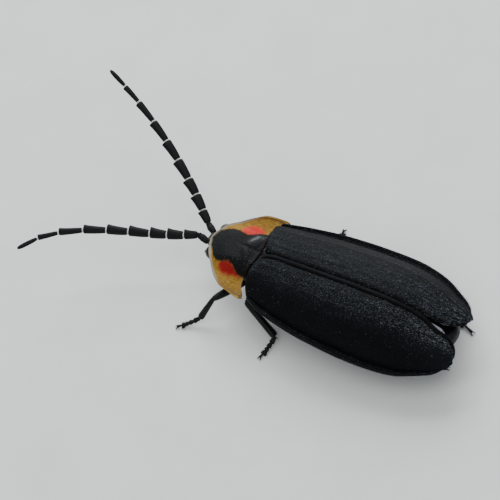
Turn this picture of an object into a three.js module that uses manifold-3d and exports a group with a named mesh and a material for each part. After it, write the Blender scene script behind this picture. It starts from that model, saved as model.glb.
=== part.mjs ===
// Life-size black firefly, standing on its six feet with both feelers raised.
// Millimetres, +Z up, head towards -Y, the animal's left side towards +X.
import * as THREE from 'three';
import * as BufferGeometryUtils from 'three/addons/utils/BufferGeometryUtils.js';
import Module from 'manifold-3d';

const wasm = await Module();
wasm.setup();

// Stance: the body is built level, with its zero between the hind corners of the
// neck shield, and is then lifted and turned a little head up.
const rideHeight = 1.6;
const headUp = THREE.MathUtils.degToRad(2.5);
const seam = 0.25;
const fineSeam = 0.14;
const plateThickness = 0.5;

// Neck shield (pronotum)
const shieldHalfWidth = 1.68;
const shieldFront = -2.35;
const shieldShoulder = -0.35;
const shieldCornerOut = 0.03;
const shieldHindWave = 0.26;
const shieldFrontPower = 1.4;
const discHalfWidth = 0.86;
const discFlare = 0.24;
const discHeight = 0.5;
const discMound = 0.07;
const rimLift = 0.06;
const rimThickness = 0.3;

// Wing cases (elytra): one row for each station from the base to the tip
const elytronStations = [
  { inner: [0.5, 0.3], outer: [1.63, 0.3], crown: 0.58, edge: 0.06 },
  { inner: [0.125, 1.0], outer: [1.93, 1.05], crown: 0.74, edge: -0.04 },
  { inner: [0.125, 2.6], outer: [2.17, 2.5], crown: 0.9, edge: -0.12 },
  { inner: [0.125, 4.2], outer: [2.28, 4.1], crown: 1.04, edge: -0.16 },
  { inner: [0.125, 5.7], outer: [2.26, 5.4], crown: 1.05, edge: -0.18 },
  { inner: [0.13, 6.9], outer: [2.0, 6.65], crown: 0.8, edge: -0.16 },
  { inner: [0.24, 7.75], outer: [1.56, 7.55], crown: 0.46, edge: -0.1 },
  { inner: [0.5, 8.17], outer: [1.18, 8.08], crown: 0.2, edge: -0.04 },
  { inner: [0.74, 8.3], outer: [0.96, 8.27], crown: 0.08, edge: 0.0 },
];
const elytronRows = 30;
const baseBulge = 0.2;
const foldLine = 0.86;
const archPower = 2.7;
const steepThickness = 0.7;
const elytronEdgeThickness = 0.42;
const tipThickness = 0.36;
const beadHeight = 0.07;
const costaHeight = 0.05;
const costae = [0.24, 0.45, 0.66];

// Folded flight wings under the wing cases
const wingRoot = 2.75;
const wingTip = 7.72;
const wingInner = 0.14;
const wingOuter = 1.25;
const wingThickness = 0.48;
const wingTipThickness = 0.24;
const veinHeight = 0.05;
const veins = [0.18, 0.45, 0.72];

// Trunk
const prothoraxFront = -1.42;
const prothoraxRear = -0.15;
const thoraxFront = 0.1;
const thoraxRear = 2.5;
const prothoraxCollar = [
  { y: prothoraxFront, half: 0.5, top: -0.44, bottom: -0.72 },
  { y: prothoraxFront + 0.12, half: 0.6, top: -0.38, bottom: -0.78 },
  { y: -0.8, half: 0.66, top: -0.36, bottom: -0.64 },
  { y: prothoraxRear - 0.1, half: 0.66, top: -0.36, bottom: -0.64 },
  { y: prothoraxRear, half: 0.56, top: -0.4, bottom: -0.6 },
];
const prothoraxKeel = [
  { y: prothoraxFront + 0.06, half: 0.12, top: -0.5, bottom: -0.86 },
  { y: -0.9, half: 0.16, top: -0.45, bottom: -1.0 },
  { y: prothoraxRear - 0.06, half: 0.12, top: -0.45, bottom: -0.9 },
];
const thoraxBack = [
  { y: thoraxFront, half: 0.75, top: -0.14, bottom: -0.52 },
  { y: thoraxFront + 0.14, half: 1.0, top: -0.06, bottom: -0.58 },
  { y: 1.3, half: 1.1, top: -0.03, bottom: -0.64 },
  { y: thoraxRear - 0.14, half: 1.12, top: -0.08, bottom: -0.72 },
  { y: thoraxRear, half: 1.0, top: -0.16, bottom: -0.66 },
];
const thoraxKeel = [
  { y: thoraxFront + 0.1, half: 0.14, top: -0.5, bottom: -0.95 },
  { y: 1.2, half: 0.22, top: -0.5, bottom: -1.16 },
  { y: thoraxRear - 0.05, half: 0.16, top: -0.55, bottom: -1.06 },
];
const trunkSides = 20;
const keelSides = 8;
const trunkSquareness = 0.72;
const abdomenFront = 2.75;
const abdomenRear = 7.92;
const abdomenSegments = 7;
const abdomenHalfWidth = 1.22;
const segmentStep = 0.05;

// Small plate between the roots of the wing cases
const scutellumFront = 0.12;
const scutellumLength = 0.52;
const scutellumHalfWidth = 0.25;
const scutellumTop = 0.56;
const scutellumThickness = 0.36;

// Head
const headCentre = new THREE.Vector3(-0.14, -2.1, -0.72);
const headRadii = new THREE.Vector3(0.5, 0.46, 0.32);
const faceOffset = new THREE.Vector3(0, -0.24, -0.06);
const faceRadii = new THREE.Vector3(0.34, 0.34, 0.26);
const palpPlaces = [[0.12, -0.42, -0.18], [0.22, -0.56, -0.28], [0.24, -0.62, -0.44]];
const palpRadii = [0.12, 0.12, 0.06];
const eyeOffset = 0.36;
const eyeRadii = new THREE.Vector3(0.36, 0.3, 0.28);

// Feelers: eleven lengths, of which the first shows only past the face, the headings of the
// first two, and the sweep of the rest
const feelerLengths = [0.12, 0.11, 0.53, 0.64, 0.66, 0.82, 0.84, 0.89, 0.92, 0.79, 0.85];
const feelerWidths = [0.44, 0.46, 0.56, 0.62, 0.62, 0.6, 0.58, 0.54, 0.48, 0.42, 0.34];
const feelerThickness = 0.42;
const feelerTipThickness = 0.26;
const feelerTooth = 0.07;
const feelerNeck = 0.62;
const feelerLeft = {
  base: [0.17, -2.78, 1.48],
  scape: { out: -11, up: 13 },
  sweepOut: [26.4, -35.4, 27, 43],
  sweepUp: [4.3, 4.4],
};
const feelerRight = {
  base: [-0.58, -2.78, 1.48],
  scape: { out: 31, up: 7 },
  sweepOut: [40.7, -14, -10.3, 1.6],
  sweepUp: [22.7, 5.2],
};

// Legs, in the standing frame: hip, knee, ankle and toe of each
const legs = {
  front_left: {
    hip: [0.72, -0.62, 0.5],
    knee: [1.79, -1.3, 0.92],
    ankle: [2.38, -1.76, 0.36],
    toe: [2.88, -2.5, 0.06],
  },
  front_right: {
    hip: [-0.72, -0.62, 0.5],
    knee: [-1.72, -1.02, 0.92],
    ankle: [-1.95, -1.62, 0.36],
    toe: [-1.85, -2.32, 0.06],
  },
  middle_left: {
    hip: [0.8, 0.86, 0.42],
    knee: [1.46, 0.0, 0.78],
    ankle: [1.98, 1.36, 0.36],
    toe: [2.8, 1.13, 0.06],
  },
  middle_right: {
    hip: [-0.8, 0.86, 0.42],
    knee: [-1.5, 0.06, 0.78],
    ankle: [-2.2, 1.3, 0.36],
    toe: [-2.92, 1.2, 0.06],
  },
  hind_left: {
    hip: [0.85, 2.1, 0.33],
    knee: [1.78, 3.6, 0.42],
    ankle: [1.68, 5.9, 0.32],
    toe: [0.72, 7.72, 0.06],
  },
  hind_right: {
    hip: [-0.85, 2.1, 0.33],
    knee: [-1.78, 3.6, 0.42],
    ankle: [-1.72, 5.9, 0.32],
    toe: [-0.98, 7.76, 0.06],
  },
};
const coxaRadii = {
  front: [0.3, 0.3, 0.28],
  middle: [0.32, 0.34, 0.26],
  hind: [0.42, 0.3, 0.24],
};
const femurProfile = [
  { at: 0, width: 0.42 },
  { at: 0.3, width: 0.52 },
  { at: 0.7, width: 0.5 },
  { at: 1, width: 0.4 },
];
const tibiaProfile = [
  { at: 0, width: 0.4 },
  { at: 0.3, width: 0.43 },
  { at: 0.8, width: 0.48 },
  { at: 1, width: 0.44 },
];
const jointReach = 0.16;
const legSides = 8;
const tarsusWidth = 0.44;
const tarsusToes = 0.32;
const tarsusShares = [0, 0.34, 0.56, 0.72, 0.84, 1];
const lobedJoint = 3;
const lobeSpread = 1.35;
const clawLength = 0.2;
const clawRadii = [0.11, 0.09, 0.04];

// Side of the blocks that trim forms to a plane
const blockSize = 20;

const shellBlack = { color: 0x17181b, roughness: 0.55, metalness: 0 };
const bodyBlack = { color: 0x121214, roughness: 0.45, metalness: 0 };
const amber = { color: 0xb48c32, roughness: 0.5, metalness: 0 };
const smoke = { color: 0x6d6570, roughness: 0.4, metalness: 0 };
const eyeBlack = { color: 0x08080a, roughness: 0.15, metalness: 0 };

const firefly = new THREE.Group();

function smoothstep(from, to, x) {
  return THREE.MathUtils.smoothstep(x, Math.min(from, to), Math.max(from, to));
}

function bump(x, centre, width) {
  return Math.exp(-(((x - centre) / width) ** 2));
}

// Sets a level-body form in its standing place
function standing(geometry) {
  return geometry.rotateX(-headUp).translate(0, 0, rideHeight);
}

function signedVolume(geometry) {
  const place = geometry.attributes.position;
  const index = geometry.index;
  const a = new THREE.Vector3();
  const b = new THREE.Vector3();
  const c = new THREE.Vector3();
  let volume = 0;
  for (let i = 0; i < index.count; i += 3) {
    a.fromBufferAttribute(place, index.getX(i));
    b.fromBufferAttribute(place, index.getX(i + 1));
    c.fromBufferAttribute(place, index.getX(i + 2));
    volume += a.dot(b.cross(c)) / 6;
  }
  return volume;
}

// Keeps positions only, joins shared corners and points every face outward
function closed(geometry) {
  const bare = geometry.clone();
  bare.deleteAttribute('normal');
  bare.deleteAttribute('uv');
  const merged = BufferGeometryUtils.mergeVertices(bare, 1e-4);
  const kept = [];
  const index = merged.index.array;
  for (let i = 0; i < index.length; i += 3) {
    const [a, b, c] = [index[i], index[i + 1], index[i + 2]];
    if (a !== b && b !== c && c !== a) kept.push(a, b, c);
  }
  merged.setIndex(kept);
  if (signedVolume(merged) < 0) {
    for (let i = 0; i < kept.length; i += 3) [kept[i + 1], kept[i + 2]] = [kept[i + 2], kept[i + 1]];
    merged.setIndex(kept);
  }
  return merged;
}

function toSolid(geometry) {
  const shell = closed(geometry);
  return new wasm.Manifold(new wasm.Mesh({
    numProp: 3,
    vertProperties: new Float32Array(shell.attributes.position.array),
    triVerts: new Uint32Array(shell.index.array),
  }));
}

function toGeometry(solid) {
  const pieces = solid.decompose();
  pieces.sort((one, other) => other.volume() - one.volume());
  const mesh = pieces[0].getMesh();
  const geometry = new THREE.BufferGeometry();
  geometry.setAttribute('position', new THREE.BufferAttribute(new Float32Array(mesh.vertProperties), 3));
  geometry.setIndex(Array.from(mesh.triVerts));
  return geometry;
}

function fuse(...geometries) {
  const solids = geometries.map(toSolid);
  return toGeometry(solids.reduce((whole, piece) => whole.add(piece)));
}

function cutAway(geometry, ...tools) {
  const solids = tools.map(toSolid);
  return toGeometry(solids.reduce((whole, tool) => whole.subtract(tool), toSolid(geometry)));
}

// A curved plate: both faces share one grid, so their triangles run alike
function plate(columns, rows, topAt, bottomAt) {
  const grid = new THREE.PlaneGeometry(1, 1, columns, rows);
  const spots = grid.attributes.position;
  const face = Array.from(grid.index.array);
  const points = [];
  for (const placeAt of [topAt, bottomAt]) {
    for (let i = 0; i < spots.count; i++) {
      points.push(...placeAt(spots.getX(i) + 0.5, 0.5 - spots.getY(i)).toArray());
    }
  }
  const below = spots.count;
  const triangles = [...face];
  for (let i = 0; i < face.length; i += 3) {
    triangles.push(face[i] + below, face[i + 2] + below, face[i + 1] + below);
  }
  const wide = columns + 1;
  const rim = [];
  for (let i = 0; i < columns; i++) rim.push(i);
  for (let j = 0; j < rows; j++) rim.push(columns + j * wide);
  for (let i = columns; i > 0; i--) rim.push(rows * wide + i);
  for (let j = rows; j > 0; j--) rim.push(j * wide);
  rim.forEach((here, i) => {
    const next = rim[(i + 1) % rim.length];
    triangles.push(here, next, here + below, next, next + below, here + below);
  });
  const geometry = new THREE.BufferGeometry();
  geometry.setAttribute('position', new THREE.Float32BufferAttribute(points, 3));
  geometry.setIndex(triangles);
  return closed(geometry);
}

// A closed tube of rings: placeAt gives the point for a ring, an angle and 0 or 1 from its axis
function ringed(sides, rings, placeAt) {
  const tube = new THREE.CylinderGeometry(1, 1, 1, sides, rings - 1);
  const spots = tube.attributes.position;
  for (let i = 0; i < spots.count; i++) {
    const ring = Math.round((0.5 - spots.getY(i)) * (rings - 1));
    const reach = Math.round(Math.hypot(spots.getX(i), spots.getZ(i)));
    const angle = Math.atan2(spots.getZ(i), spots.getX(i));
    spots.setXYZ(i, ...placeAt(ring, angle, reach).toArray());
  }
  return closed(tube);
}

function ellipsoid(centre, radii, sides = 16, rings = 10) {
  return new THREE.SphereGeometry(1, sides, rings)
    .rotateX(Math.PI / 2)
    .scale(radii.x, radii.y, radii.z)
    .translate(centre.x, centre.y, centre.z);
}

// A lengthwise body of soft-cornered cross sections, each { y, half, top, bottom, middle }
function trunk(sections, sides, squareness) {
  return ringed(sides, sections.length, (ring, angle, reach) => {
    const { y, half, top, bottom, middle = 0 } = sections[ring];
    const round = (value) => Math.sign(value) * Math.abs(value) ** squareness;
    const x = middle + half * round(Math.cos(angle)) * reach;
    const z = (top + bottom) / 2 + ((top - bottom) / 2) * round(Math.sin(angle)) * reach;
    return new THREE.Vector3(x, y, z);
  });
}

function addPart(name, geometry, finish) {
  const mesh = new THREE.Mesh(geometry, new THREE.MeshStandardMaterial(finish));
  mesh.name = name;
  firefly.add(mesh);
}

function mirrored(geometry) {
  return closed(geometry.clone().scale(-1, 1, 1));
}

// The shield's front edge and hind edge over a place across it
function shieldEdges(x) {
  const across = Math.min(1, Math.abs(x) / shieldHalfWidth);
  const reach = shieldShoulder - shieldFront;
  const front = shieldShoulder - reach * Math.sqrt(1 - across ** shieldFrontPower);
  const hind = -0.1 - shieldHindWave * bump(across, 0.62, 0.26) + 0.12 * smoothstep(0.75, 1, across);
  return { front, hind };
}

function shieldTop(x, along) {
  const across = Math.abs(x) / shieldHalfWidth;
  const halfHere = discHalfWidth * (1 - 0.12 * along);
  const side = 1 - smoothstep(halfHere - discFlare, halfHere + discFlare, Math.abs(x));
  const length = 0.35 + 0.65 * smoothstep(0, 0.6, along) - 0.12 * smoothstep(0.8, 1, along);
  const mounds = discMound * bump(Math.abs(x), 0.45, 0.25) * bump(along, 0.75, 0.16);
  const groove = 0.05 * bump(x, 0, 0.1) * smoothstep(0.3, 0.5, along);
  return discHeight * side * length + mounds - groove + rimLift * across ** 6;
}

function makeShield() {
  const at = (u, v, below) => {
    const x = shieldHalfWidth * Math.sin((u - 0.5) * Math.PI);
    const { front, hind } = shieldEdges(x);
    const y = front + (hind - front) * v;
    const rim = Math.min(u, 1 - u, v * 0.8, (1 - v) * 0.8);
    const thick = rimThickness + (plateThickness - rimThickness) * smoothstep(0, 0.14, rim);
    const cornerOut = shieldCornerOut * Math.sign(x) * smoothstep(0.8, 1, Math.abs(x) / shieldHalfWidth) * v;
    return new THREE.Vector3(x + cornerOut, y, shieldTop(x, v) - (below ? thick : 0));
  };
  return plate(24, 12, (u, v) => at(u, v, false), (u, v) => at(u, v, true));
}

// The wing case's outline and heights between its stations
function elytronAt(v) {
  const place = v * (elytronStations.length - 1);
  const here = Math.min(Math.floor(place), elytronStations.length - 2);
  const share = place - here;
  const pick = (step) => elytronStations[THREE.MathUtils.clamp(here + step, 0, elytronStations.length - 1)];
  const curve = (read) => {
    const [p0, p1, p2, p3] = [pick(-1), pick(0), pick(1), pick(2)].map(read);
    const [m1, m2] = [(p2 - p0) / 2, (p3 - p1) / 2];
    const s = share;
    return (2 * s ** 3 - 3 * s ** 2 + 1) * p1 + (s ** 3 - 2 * s ** 2 + s) * m1
      + (3 * s ** 2 - 2 * s ** 3) * p2 + (s ** 3 - s ** 2) * m2;
  };
  return {
    inner: new THREE.Vector2(Math.max(curve((s) => s.inner[0]), seam / 2), curve((s) => s.inner[1])),
    outer: new THREE.Vector2(curve((s) => s.outer[0]), curve((s) => s.outer[1])),
    crown: curve((s) => s.crown),
    edge: curve((s) => s.edge),
  };
}

function archShape(u) {
  const across = Math.min(1, u / foldLine);
  return (1 - across ** archPower) ** 0.8;
}

function elytronHeight(u, v, ridged = true) {
  const { crown, edge } = elytronAt(v);
  const arch = edge + (crown - edge) * archShape(u);
  if (!ridged) return arch;
  const fade = smoothstep(0, 0.1, v) * (1 - smoothstep(0.8, 0.97, v));
  const ribs = costae.reduce((sum, costa) => sum + costaHeight * bump(u, costa, 0.035), 0);
  return arch + fade * (ribs + beadHeight * bump(u, 0.03, 0.035));
}

function elytronThickness(u, v) {
  const steep = bump(u, foldLine - 0.14, 0.09);
  const edge = smoothstep(foldLine, 1, u);
  const flat = plateThickness + (elytronEdgeThickness - plateThickness) * edge;
  const whole = flat + (steepThickness - plateThickness) * steep * (1 - smoothstep(0.8, 1, v));
  return THREE.MathUtils.lerp(whole, tipThickness, smoothstep(0.72, 1, v));
}

const elytronColumns = [0, 0.03, 0.08, 0.17, 0.24, 0.31, 0.39, 0.45, 0.51, 0.59, 0.66, 0.73, 0.8, 0.86, 0.92, 1];

function elytronPoint(u, v, below) {
  const { inner, outer } = elytronAt(v);
  const x = inner.x + (outer.x - inner.x) * u;
  const bulge = baseBulge * Math.sin(Math.PI * u) * (1 - smoothstep(0, 0.12, v));
  const y = inner.y + (outer.y - inner.y) * u - bulge;
  return new THREE.Vector3(x, y, elytronHeight(u, v) - (below ? elytronThickness(u, v) : 0));
}

function makeElytron() {
  const columns = elytronColumns.length - 1;
  const columnAt = (u) => elytronColumns[Math.round(u * columns)];
  return plate(
    columns,
    elytronRows,
    (u, v) => elytronPoint(columnAt(u), v, false),
    (u, v) => elytronPoint(columnAt(u), v, true),
  );
}

// The wing case's underside over a place in plan, found on its own grid
function elytronUnderside(x, y) {
  let v = 0.5;
  let u = 0.5;
  for (let turn = 0; turn < 24; turn++) {
    const here = elytronPoint(u, v, true);
    u = THREE.MathUtils.clamp(u + (x - here.x) / 2.1, 0, 1);
    v = THREE.MathUtils.clamp(v + (y - here.y) / 8.2, 0, 1);
  }
  return elytronHeight(u, v, false) - elytronThickness(u, v);
}

function makeFlightWing() {
  const at = (u, v, below) => {
    const y = wingRoot + (wingTip - wingRoot) * v;
    const spread = Math.sqrt(Math.max(0, 1 - (2 * Math.max(0.5, v) - 1) ** 3));
    const fullness = (0.2 + 0.8 * spread) * (0.8 + 0.2 * smoothstep(0, 0.3, v));
    const outer = wingInner + (wingOuter - wingInner) * fullness;
    const inner = wingInner + 0.16 * smoothstep(0.85, 1, v);
    const x = inner + (outer - inner) * u;
    const cover = elytronUnderside(x, y) - seam;
    const ribs = veins.reduce((sum, vein) => sum + veinHeight * bump(u, vein, 0.07), 0);
    const thick = THREE.MathUtils.lerp(wingThickness, wingTipThickness, smoothstep(0.6, 1, v));
    return new THREE.Vector3(x, y, cover - veinHeight + ribs * (1 - 0.4 * v) - (below ? thick : 0));
  };
  return plate(8, 16, (u, v) => at(u, v, false), (u, v) => at(u, v, true));
}

function makeScutellum() {
  const at = (u, v, below) => {
    const y = scutellumFront + scutellumLength * v;
    const half = scutellumHalfWidth * (1 - 0.8 * v ** 1.4);
    const top = scutellumTop + 0.05 * v + 0.04 * bump(u, 0.5, 0.3);
    return new THREE.Vector3((u - 0.5) * 2 * half, y, top - (below ? scutellumThickness : 0));
  };
  return plate(4, 4, (u, v) => at(u, v, false), (u, v) => at(u, v, true));
}

function makeChest(back, keel) {
  return fuse(trunk(back, trunkSides, trunkSquareness), trunk(keel, keelSides, trunkSquareness));
}

// Seven overlapping rings, each a little wider at its hind rim, closing to a blunt tip
function makeAbdomen() {
  const sections = [];
  const length = (abdomenRear - abdomenFront) / abdomenSegments;
  const outlineAt = (y) => {
    const along = (y - abdomenFront) / (abdomenRear - abdomenFront);
    const waist = 0.74 + 0.26 * smoothstep(0, 0.32, along);
    const half = abdomenHalfWidth * waist * (1 - 0.68 * smoothstep(0.45, 1.02, along));
    const top = -0.66 - 0.04 * smoothstep(0.55, 0.9, along);
    const bottom = -1.18 + 0.14 * smoothstep(0.5, 1, along);
    return { half, top, bottom };
  };
  for (let segment = 0; segment < abdomenSegments; segment++) {
    const from = abdomenFront + segment * length;
    const to = from + length - segmentStep / 2;
    const start = outlineAt(from);
    const end = outlineAt(to);
    sections.push({
      y: from,
      half: start.half - segmentStep,
      top: start.top - segmentStep / 2,
      bottom: start.bottom + segmentStep,
    });
    sections.push({
      y: (from + to) / 2,
      half: (start.half + end.half) / 2,
      top: start.top,
      bottom: start.bottom,
    });
    sections.push({ y: to, ...end });
  }
  return trunk(sections, trunkSides, trunkSquareness);
}

function makeHead() {
  const skull = ellipsoid(headCentre, headRadii, 18, 12);
  const face = ellipsoid(headCentre.clone().add(faceOffset), faceRadii, 14, 10);
  const palps = [-1, 1].map((side) => {
    const places = palpPlaces.map(([x, y, z]) => headCentre.clone().add(new THREE.Vector3(side * x, y, z)));
    return rod(places, palpRadii, legSides);
  });
  const sockets = [-1, 1].map((side) => eyeForm(side, fineSeam));
  return cutAway(fuse(skull, face, ...palps), ...sockets);
}

function eyeForm(side, grown) {
  const centre = headCentre.clone().add(new THREE.Vector3(side * eyeOffset, -0.06, 0.04));
  const radii = eyeRadii.clone().addScalar(grown);
  const ball = ellipsoid(centre, radii, 16, 12);
  const innerFace = headCentre.x + side * (eyeOffset + 0.04 - grown);
  const keep = new THREE.BoxGeometry(2, 2, 2).translate(innerFace + side, centre.y, centre.z);
  return toGeometry(toSolid(ball).intersect(toSolid(keep)));
}

// A round rod through a few points, with a radius at each
function rod(points, radii, sides) {
  const bend = new THREE.CatmullRomCurve3(points);
  const rings = (points.length - 1) * 3 + 1;
  return ringed(sides, rings, (ring, angle, reach) => {
    const t = ring / (rings - 1);
    const place = t * (radii.length - 1);
    const here = Math.min(Math.floor(place), radii.length - 2);
    const radius = THREE.MathUtils.lerp(radii[here], radii[here + 1], place - here);
    const centre = bend.getPoint(t);
    const { side, up } = frameOf(bend.getTangent(t));
    return centre
      .addScaledVector(side, Math.cos(angle) * radius * reach)
      .addScaledVector(up, Math.sin(angle) * radius * reach);
  });
}

function frameOf(direction) {
  const along = direction.clone().normalize();
  const side = new THREE.Vector3(0, 0, 1).cross(along).normalize();
  const up = along.clone().cross(side);
  return { along, side, up };
}

function heading(side, out, up) {
  const a = THREE.MathUtils.degToRad(out);
  const e = THREE.MathUtils.degToRad(up);
  return new THREE.Vector3(side * Math.sin(a) * Math.cos(e), -Math.cos(a) * Math.cos(e), Math.sin(e));
}

function polynomial(coefficients, t) {
  return coefficients.reduce((sum, value, power) => sum + value * t ** power, 0);
}

function feelerJoints(side, feeler) {
  const joints = [new THREE.Vector3(...feeler.base)];
  feelerLengths.forEach((length, i) => {
    const t = Math.max(0, i - 2) / (feelerLengths.length - 3);
    const direction = i < 2
      ? heading(side, feeler.scape.out, feeler.scape.up)
      : heading(side, polynomial(feeler.sweepOut, t), polynomial(feeler.sweepUp, t));
    joints.push(joints[i].clone().addScaledVector(direction, length));
  });
  return joints;
}

// Eleven flattened joints, each widening to a tooth on its inner side
function makeFeeler(side, feeler) {
  const joints = feelerJoints(side, feeler);
  const rings = [];
  feelerLengths.forEach((length, i) => {
    const direction = joints[i + 1].clone().sub(joints[i]).normalize();
    const width = feelerWidths[i];
    const share = i / (feelerLengths.length - 1);
    const thick = THREE.MathUtils.lerp(feelerThickness, feelerTipThickness, share);
    const last = i === feelerLengths.length - 1;
    const tooth = i < 2 || last ? 0 : feelerTooth * (1 - 0.6 * share);
    const narrow = width * (i < 2 ? 0.85 : feelerNeck);
    const at = (along) => joints[i].clone().addScaledVector(direction, along * length);
    rings.push({ centre: at(0.03), direction, width: narrow, thick: thick * 0.85, tooth: 0 });
    rings.push({ centre: at(0.5), direction, width: (width + narrow) / 2, thick, tooth: tooth * 0.2 });
    rings.push({ centre: at(last ? 0.8 : 0.93), direction, width: last ? width * 0.8 : width, thick, tooth });
    if (last) rings.push({ centre: at(1), direction, width: width * 0.3, thick: thick * 0.4, tooth: 0 });
  });
  return ringed(8, rings.length, (ring, angle, reach) => {
    const { centre, direction, width, thick, tooth } = rings[ring];
    const level = frameOf(direction);
    const inward = level.side.clone().multiplyScalar(level.side.x * side > 0 ? -1 : 1);
    const across = Math.cos(angle) * (width / 2 + (Math.cos(angle) > 0 ? tooth : 0));
    return centre.clone()
      .addScaledVector(inward, across * reach)
      .addScaledVector(level.up, Math.sin(angle) * (thick / 2) * reach)
      .addScaledVector(direction, Math.max(0, Math.cos(angle)) * tooth * 0.6 * reach);
  });
}

// A block that takes in everything past a plane
function pastPlane(place, normal) {
  const turn = new THREE.Quaternion().setFromUnitVectors(new THREE.Vector3(0, 0, 1), normal);
  return new THREE.BoxGeometry(blockSize, blockSize, blockSize)
    .translate(0, 0, blockSize / 2)
    .applyQuaternion(turn)
    .translate(place.x, place.y, place.z);
}

// A round leg length, with its width given at shares of the way
function limb(from, to, profile) {
  const { side, up } = frameOf(to.clone().sub(from));
  return ringed(legSides, profile.length, (ring, angle, reach) => {
    const { at, width } = profile[ring];
    return from.clone().lerp(to, at)
      .addScaledVector(side, Math.cos(angle) * (width / 2) * reach)
      .addScaledVector(up, Math.sin(angle) * (width / 2) * reach);
  });
}

// The plane halfway between two lengths that meet
function jointNormal(before, after) {
  return before.clone().normalize().add(after.clone().normalize()).normalize();
}

// Five short joints ending in two claws, cut level where they stand
function makeTarsus(ankle, toe, startNormal) {
  const bend = new THREE.QuadraticBezierCurve3(
    ankle,
    new THREE.Vector3().lerpVectors(ankle, toe, 0.45).setZ(tarsusWidth / 2),
    toe,
  );
  const rings = [];
  const count = tarsusShares.length - 1;
  for (let joint = 0; joint < count; joint++) {
    const lobed = joint === lobedJoint;
    const width = THREE.MathUtils.lerp(tarsusWidth, tarsusToes, joint / (count - 1));
    for (const [share, size] of [[0.02, 0.78], [0.9, lobed ? lobeSpread : 1]]) {
      const t = THREE.MathUtils.lerp(tarsusShares[joint], tarsusShares[joint + 1], share);
      rings.push({ t, width: width * size, depth: width * (lobed ? 0.8 : 0.9) * Math.min(1, size) });
    }
  }
  const tube = ringed(8, rings.length, (ring, angle, reach) => {
    const { t, width, depth } = rings[ring];
    const centre = bend.getPoint(t);
    const { along, side, up } = frameOf(bend.getTangent(t));
    const offset = side.clone().multiplyScalar(Math.cos(angle) * (width / 2) * reach)
      .addScaledVector(up, Math.sin(angle) * (depth / 2) * reach);
    const shift = ring < 2 ? -offset.dot(startNormal) / along.dot(startNormal) : 0;
    return centre.add(offset).addScaledVector(along, shift);
  });
  const end = frameOf(bend.getTangent(1));
  const claws = [-1, 1].map((way) => {
    const root = bend.getPoint(0.95);
    const tip = bend.getPoint(1)
      .addScaledVector(end.along, clawLength)
      .addScaledVector(end.side, way * clawLength * 0.7)
      .setZ(0.04);
    const middle = root.clone().lerp(tip, 0.55).addScaledVector(end.side, way * 0.04).setZ(0.14);
    return rod([root, middle, tip], clawRadii, 6);
  });
  const floor = pastPlane(new THREE.Vector3(toe.x, toe.y, 0), new THREE.Vector3(0, 0, -1));
  return cutAway(fuse(tube, ...claws), floor);
}

// Where a ray from the middle of an ellipsoid leaves it
function reachOut(radii, direction) {
  return 1 / direction.clone().divide(radii).length();
}

function makeLeg(name, { hip, knee, ankle, toe }) {
  const [pair, sideName] = name.split('_');
  const [h, k, a, t] = [hip, knee, ankle, toe].map((place) => new THREE.Vector3(...place));
  const radii = new THREE.Vector3(...coxaRadii[pair]);
  const thigh = k.clone().sub(h).normalize();
  const shin = a.clone().sub(k).normalize();
  const foot = new THREE.Vector3().lerpVectors(a, t, 0.45).setZ(tarsusWidth / 2).sub(a).normalize();
  const kneePlane = jointNormal(thigh, shin);
  const anklePlane = jointNormal(shin, foot);
  const beside = (place, normal, way) => place.clone().addScaledVector(normal, way * seam / 2);
  const femur = limb(
    h.clone().addScaledVector(thigh, reachOut(radii, thigh) + seam),
    k.clone().addScaledVector(thigh, jointReach),
    femurProfile,
  );
  const tibia = limb(
    k.clone().addScaledVector(shin, -jointReach),
    a.clone().addScaledVector(shin, jointReach),
    tibiaProfile,
  );
  const femurEnd = pastPlane(beside(k, kneePlane, -1), kneePlane);
  const tibiaStart = pastPlane(beside(k, kneePlane, 1), kneePlane.clone().negate());
  const tibiaEnd = pastPlane(beside(a, anklePlane, -1), anklePlane);
  const tarsusStart = a.clone().addScaledVector(foot, seam / 2 / foot.dot(anklePlane));
  const label = (length) => `leg_${sideName}_${pair}_${length}`;
  addPart(label('coxa'), closed(ellipsoid(h, radii, 12, 8)), bodyBlack);
  addPart(label('femur'), cutAway(femur, femurEnd), bodyBlack);
  addPart(label('tibia'), cutAway(tibia, tibiaStart, tibiaEnd), bodyBlack);
  addPart(label('tarsus'), makeTarsus(tarsusStart, t, anklePlane), bodyBlack);
}

addPart('pronotum', standing(makeShield()), amber);
addPart('scutellum', standing(makeScutellum()), shellBlack);
addPart('prothorax', standing(makeChest(prothoraxCollar, prothoraxKeel)), bodyBlack);
addPart('thorax', standing(makeChest(thoraxBack, thoraxKeel)), bodyBlack);
addPart('abdomen', standing(makeAbdomen()), bodyBlack);
addPart('head', standing(makeHead()), bodyBlack);
for (const [sideName, side] of [['left', 1], ['right', -1]]) {
  const place = (geometry) => standing(side > 0 ? geometry : mirrored(geometry));
  addPart(`elytron_${sideName}`, place(makeElytron()), shellBlack);
  addPart(`flight_wing_${sideName}`, place(makeFlightWing()), smoke);
  addPart(`eye_${sideName}`, standing(eyeForm(side, 0)), eyeBlack);
  addPart(`antenna_${sideName}`, makeFeeler(side, side > 0 ? feelerLeft : feelerRight), bodyBlack);
}
for (const [name, leg] of Object.entries(legs)) makeLeg(name, leg);

// The whole stands with its origin in the middle of its own footprint
const extent = new THREE.Box3().setFromObject(firefly);
const middle = extent.getCenter(new THREE.Vector3());
firefly.position.set(-middle.x, -middle.y, -extent.min.z);

export default firefly;
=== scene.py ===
import math

import bpy
import numpy as np
from mathutils import Matrix, Vector


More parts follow.
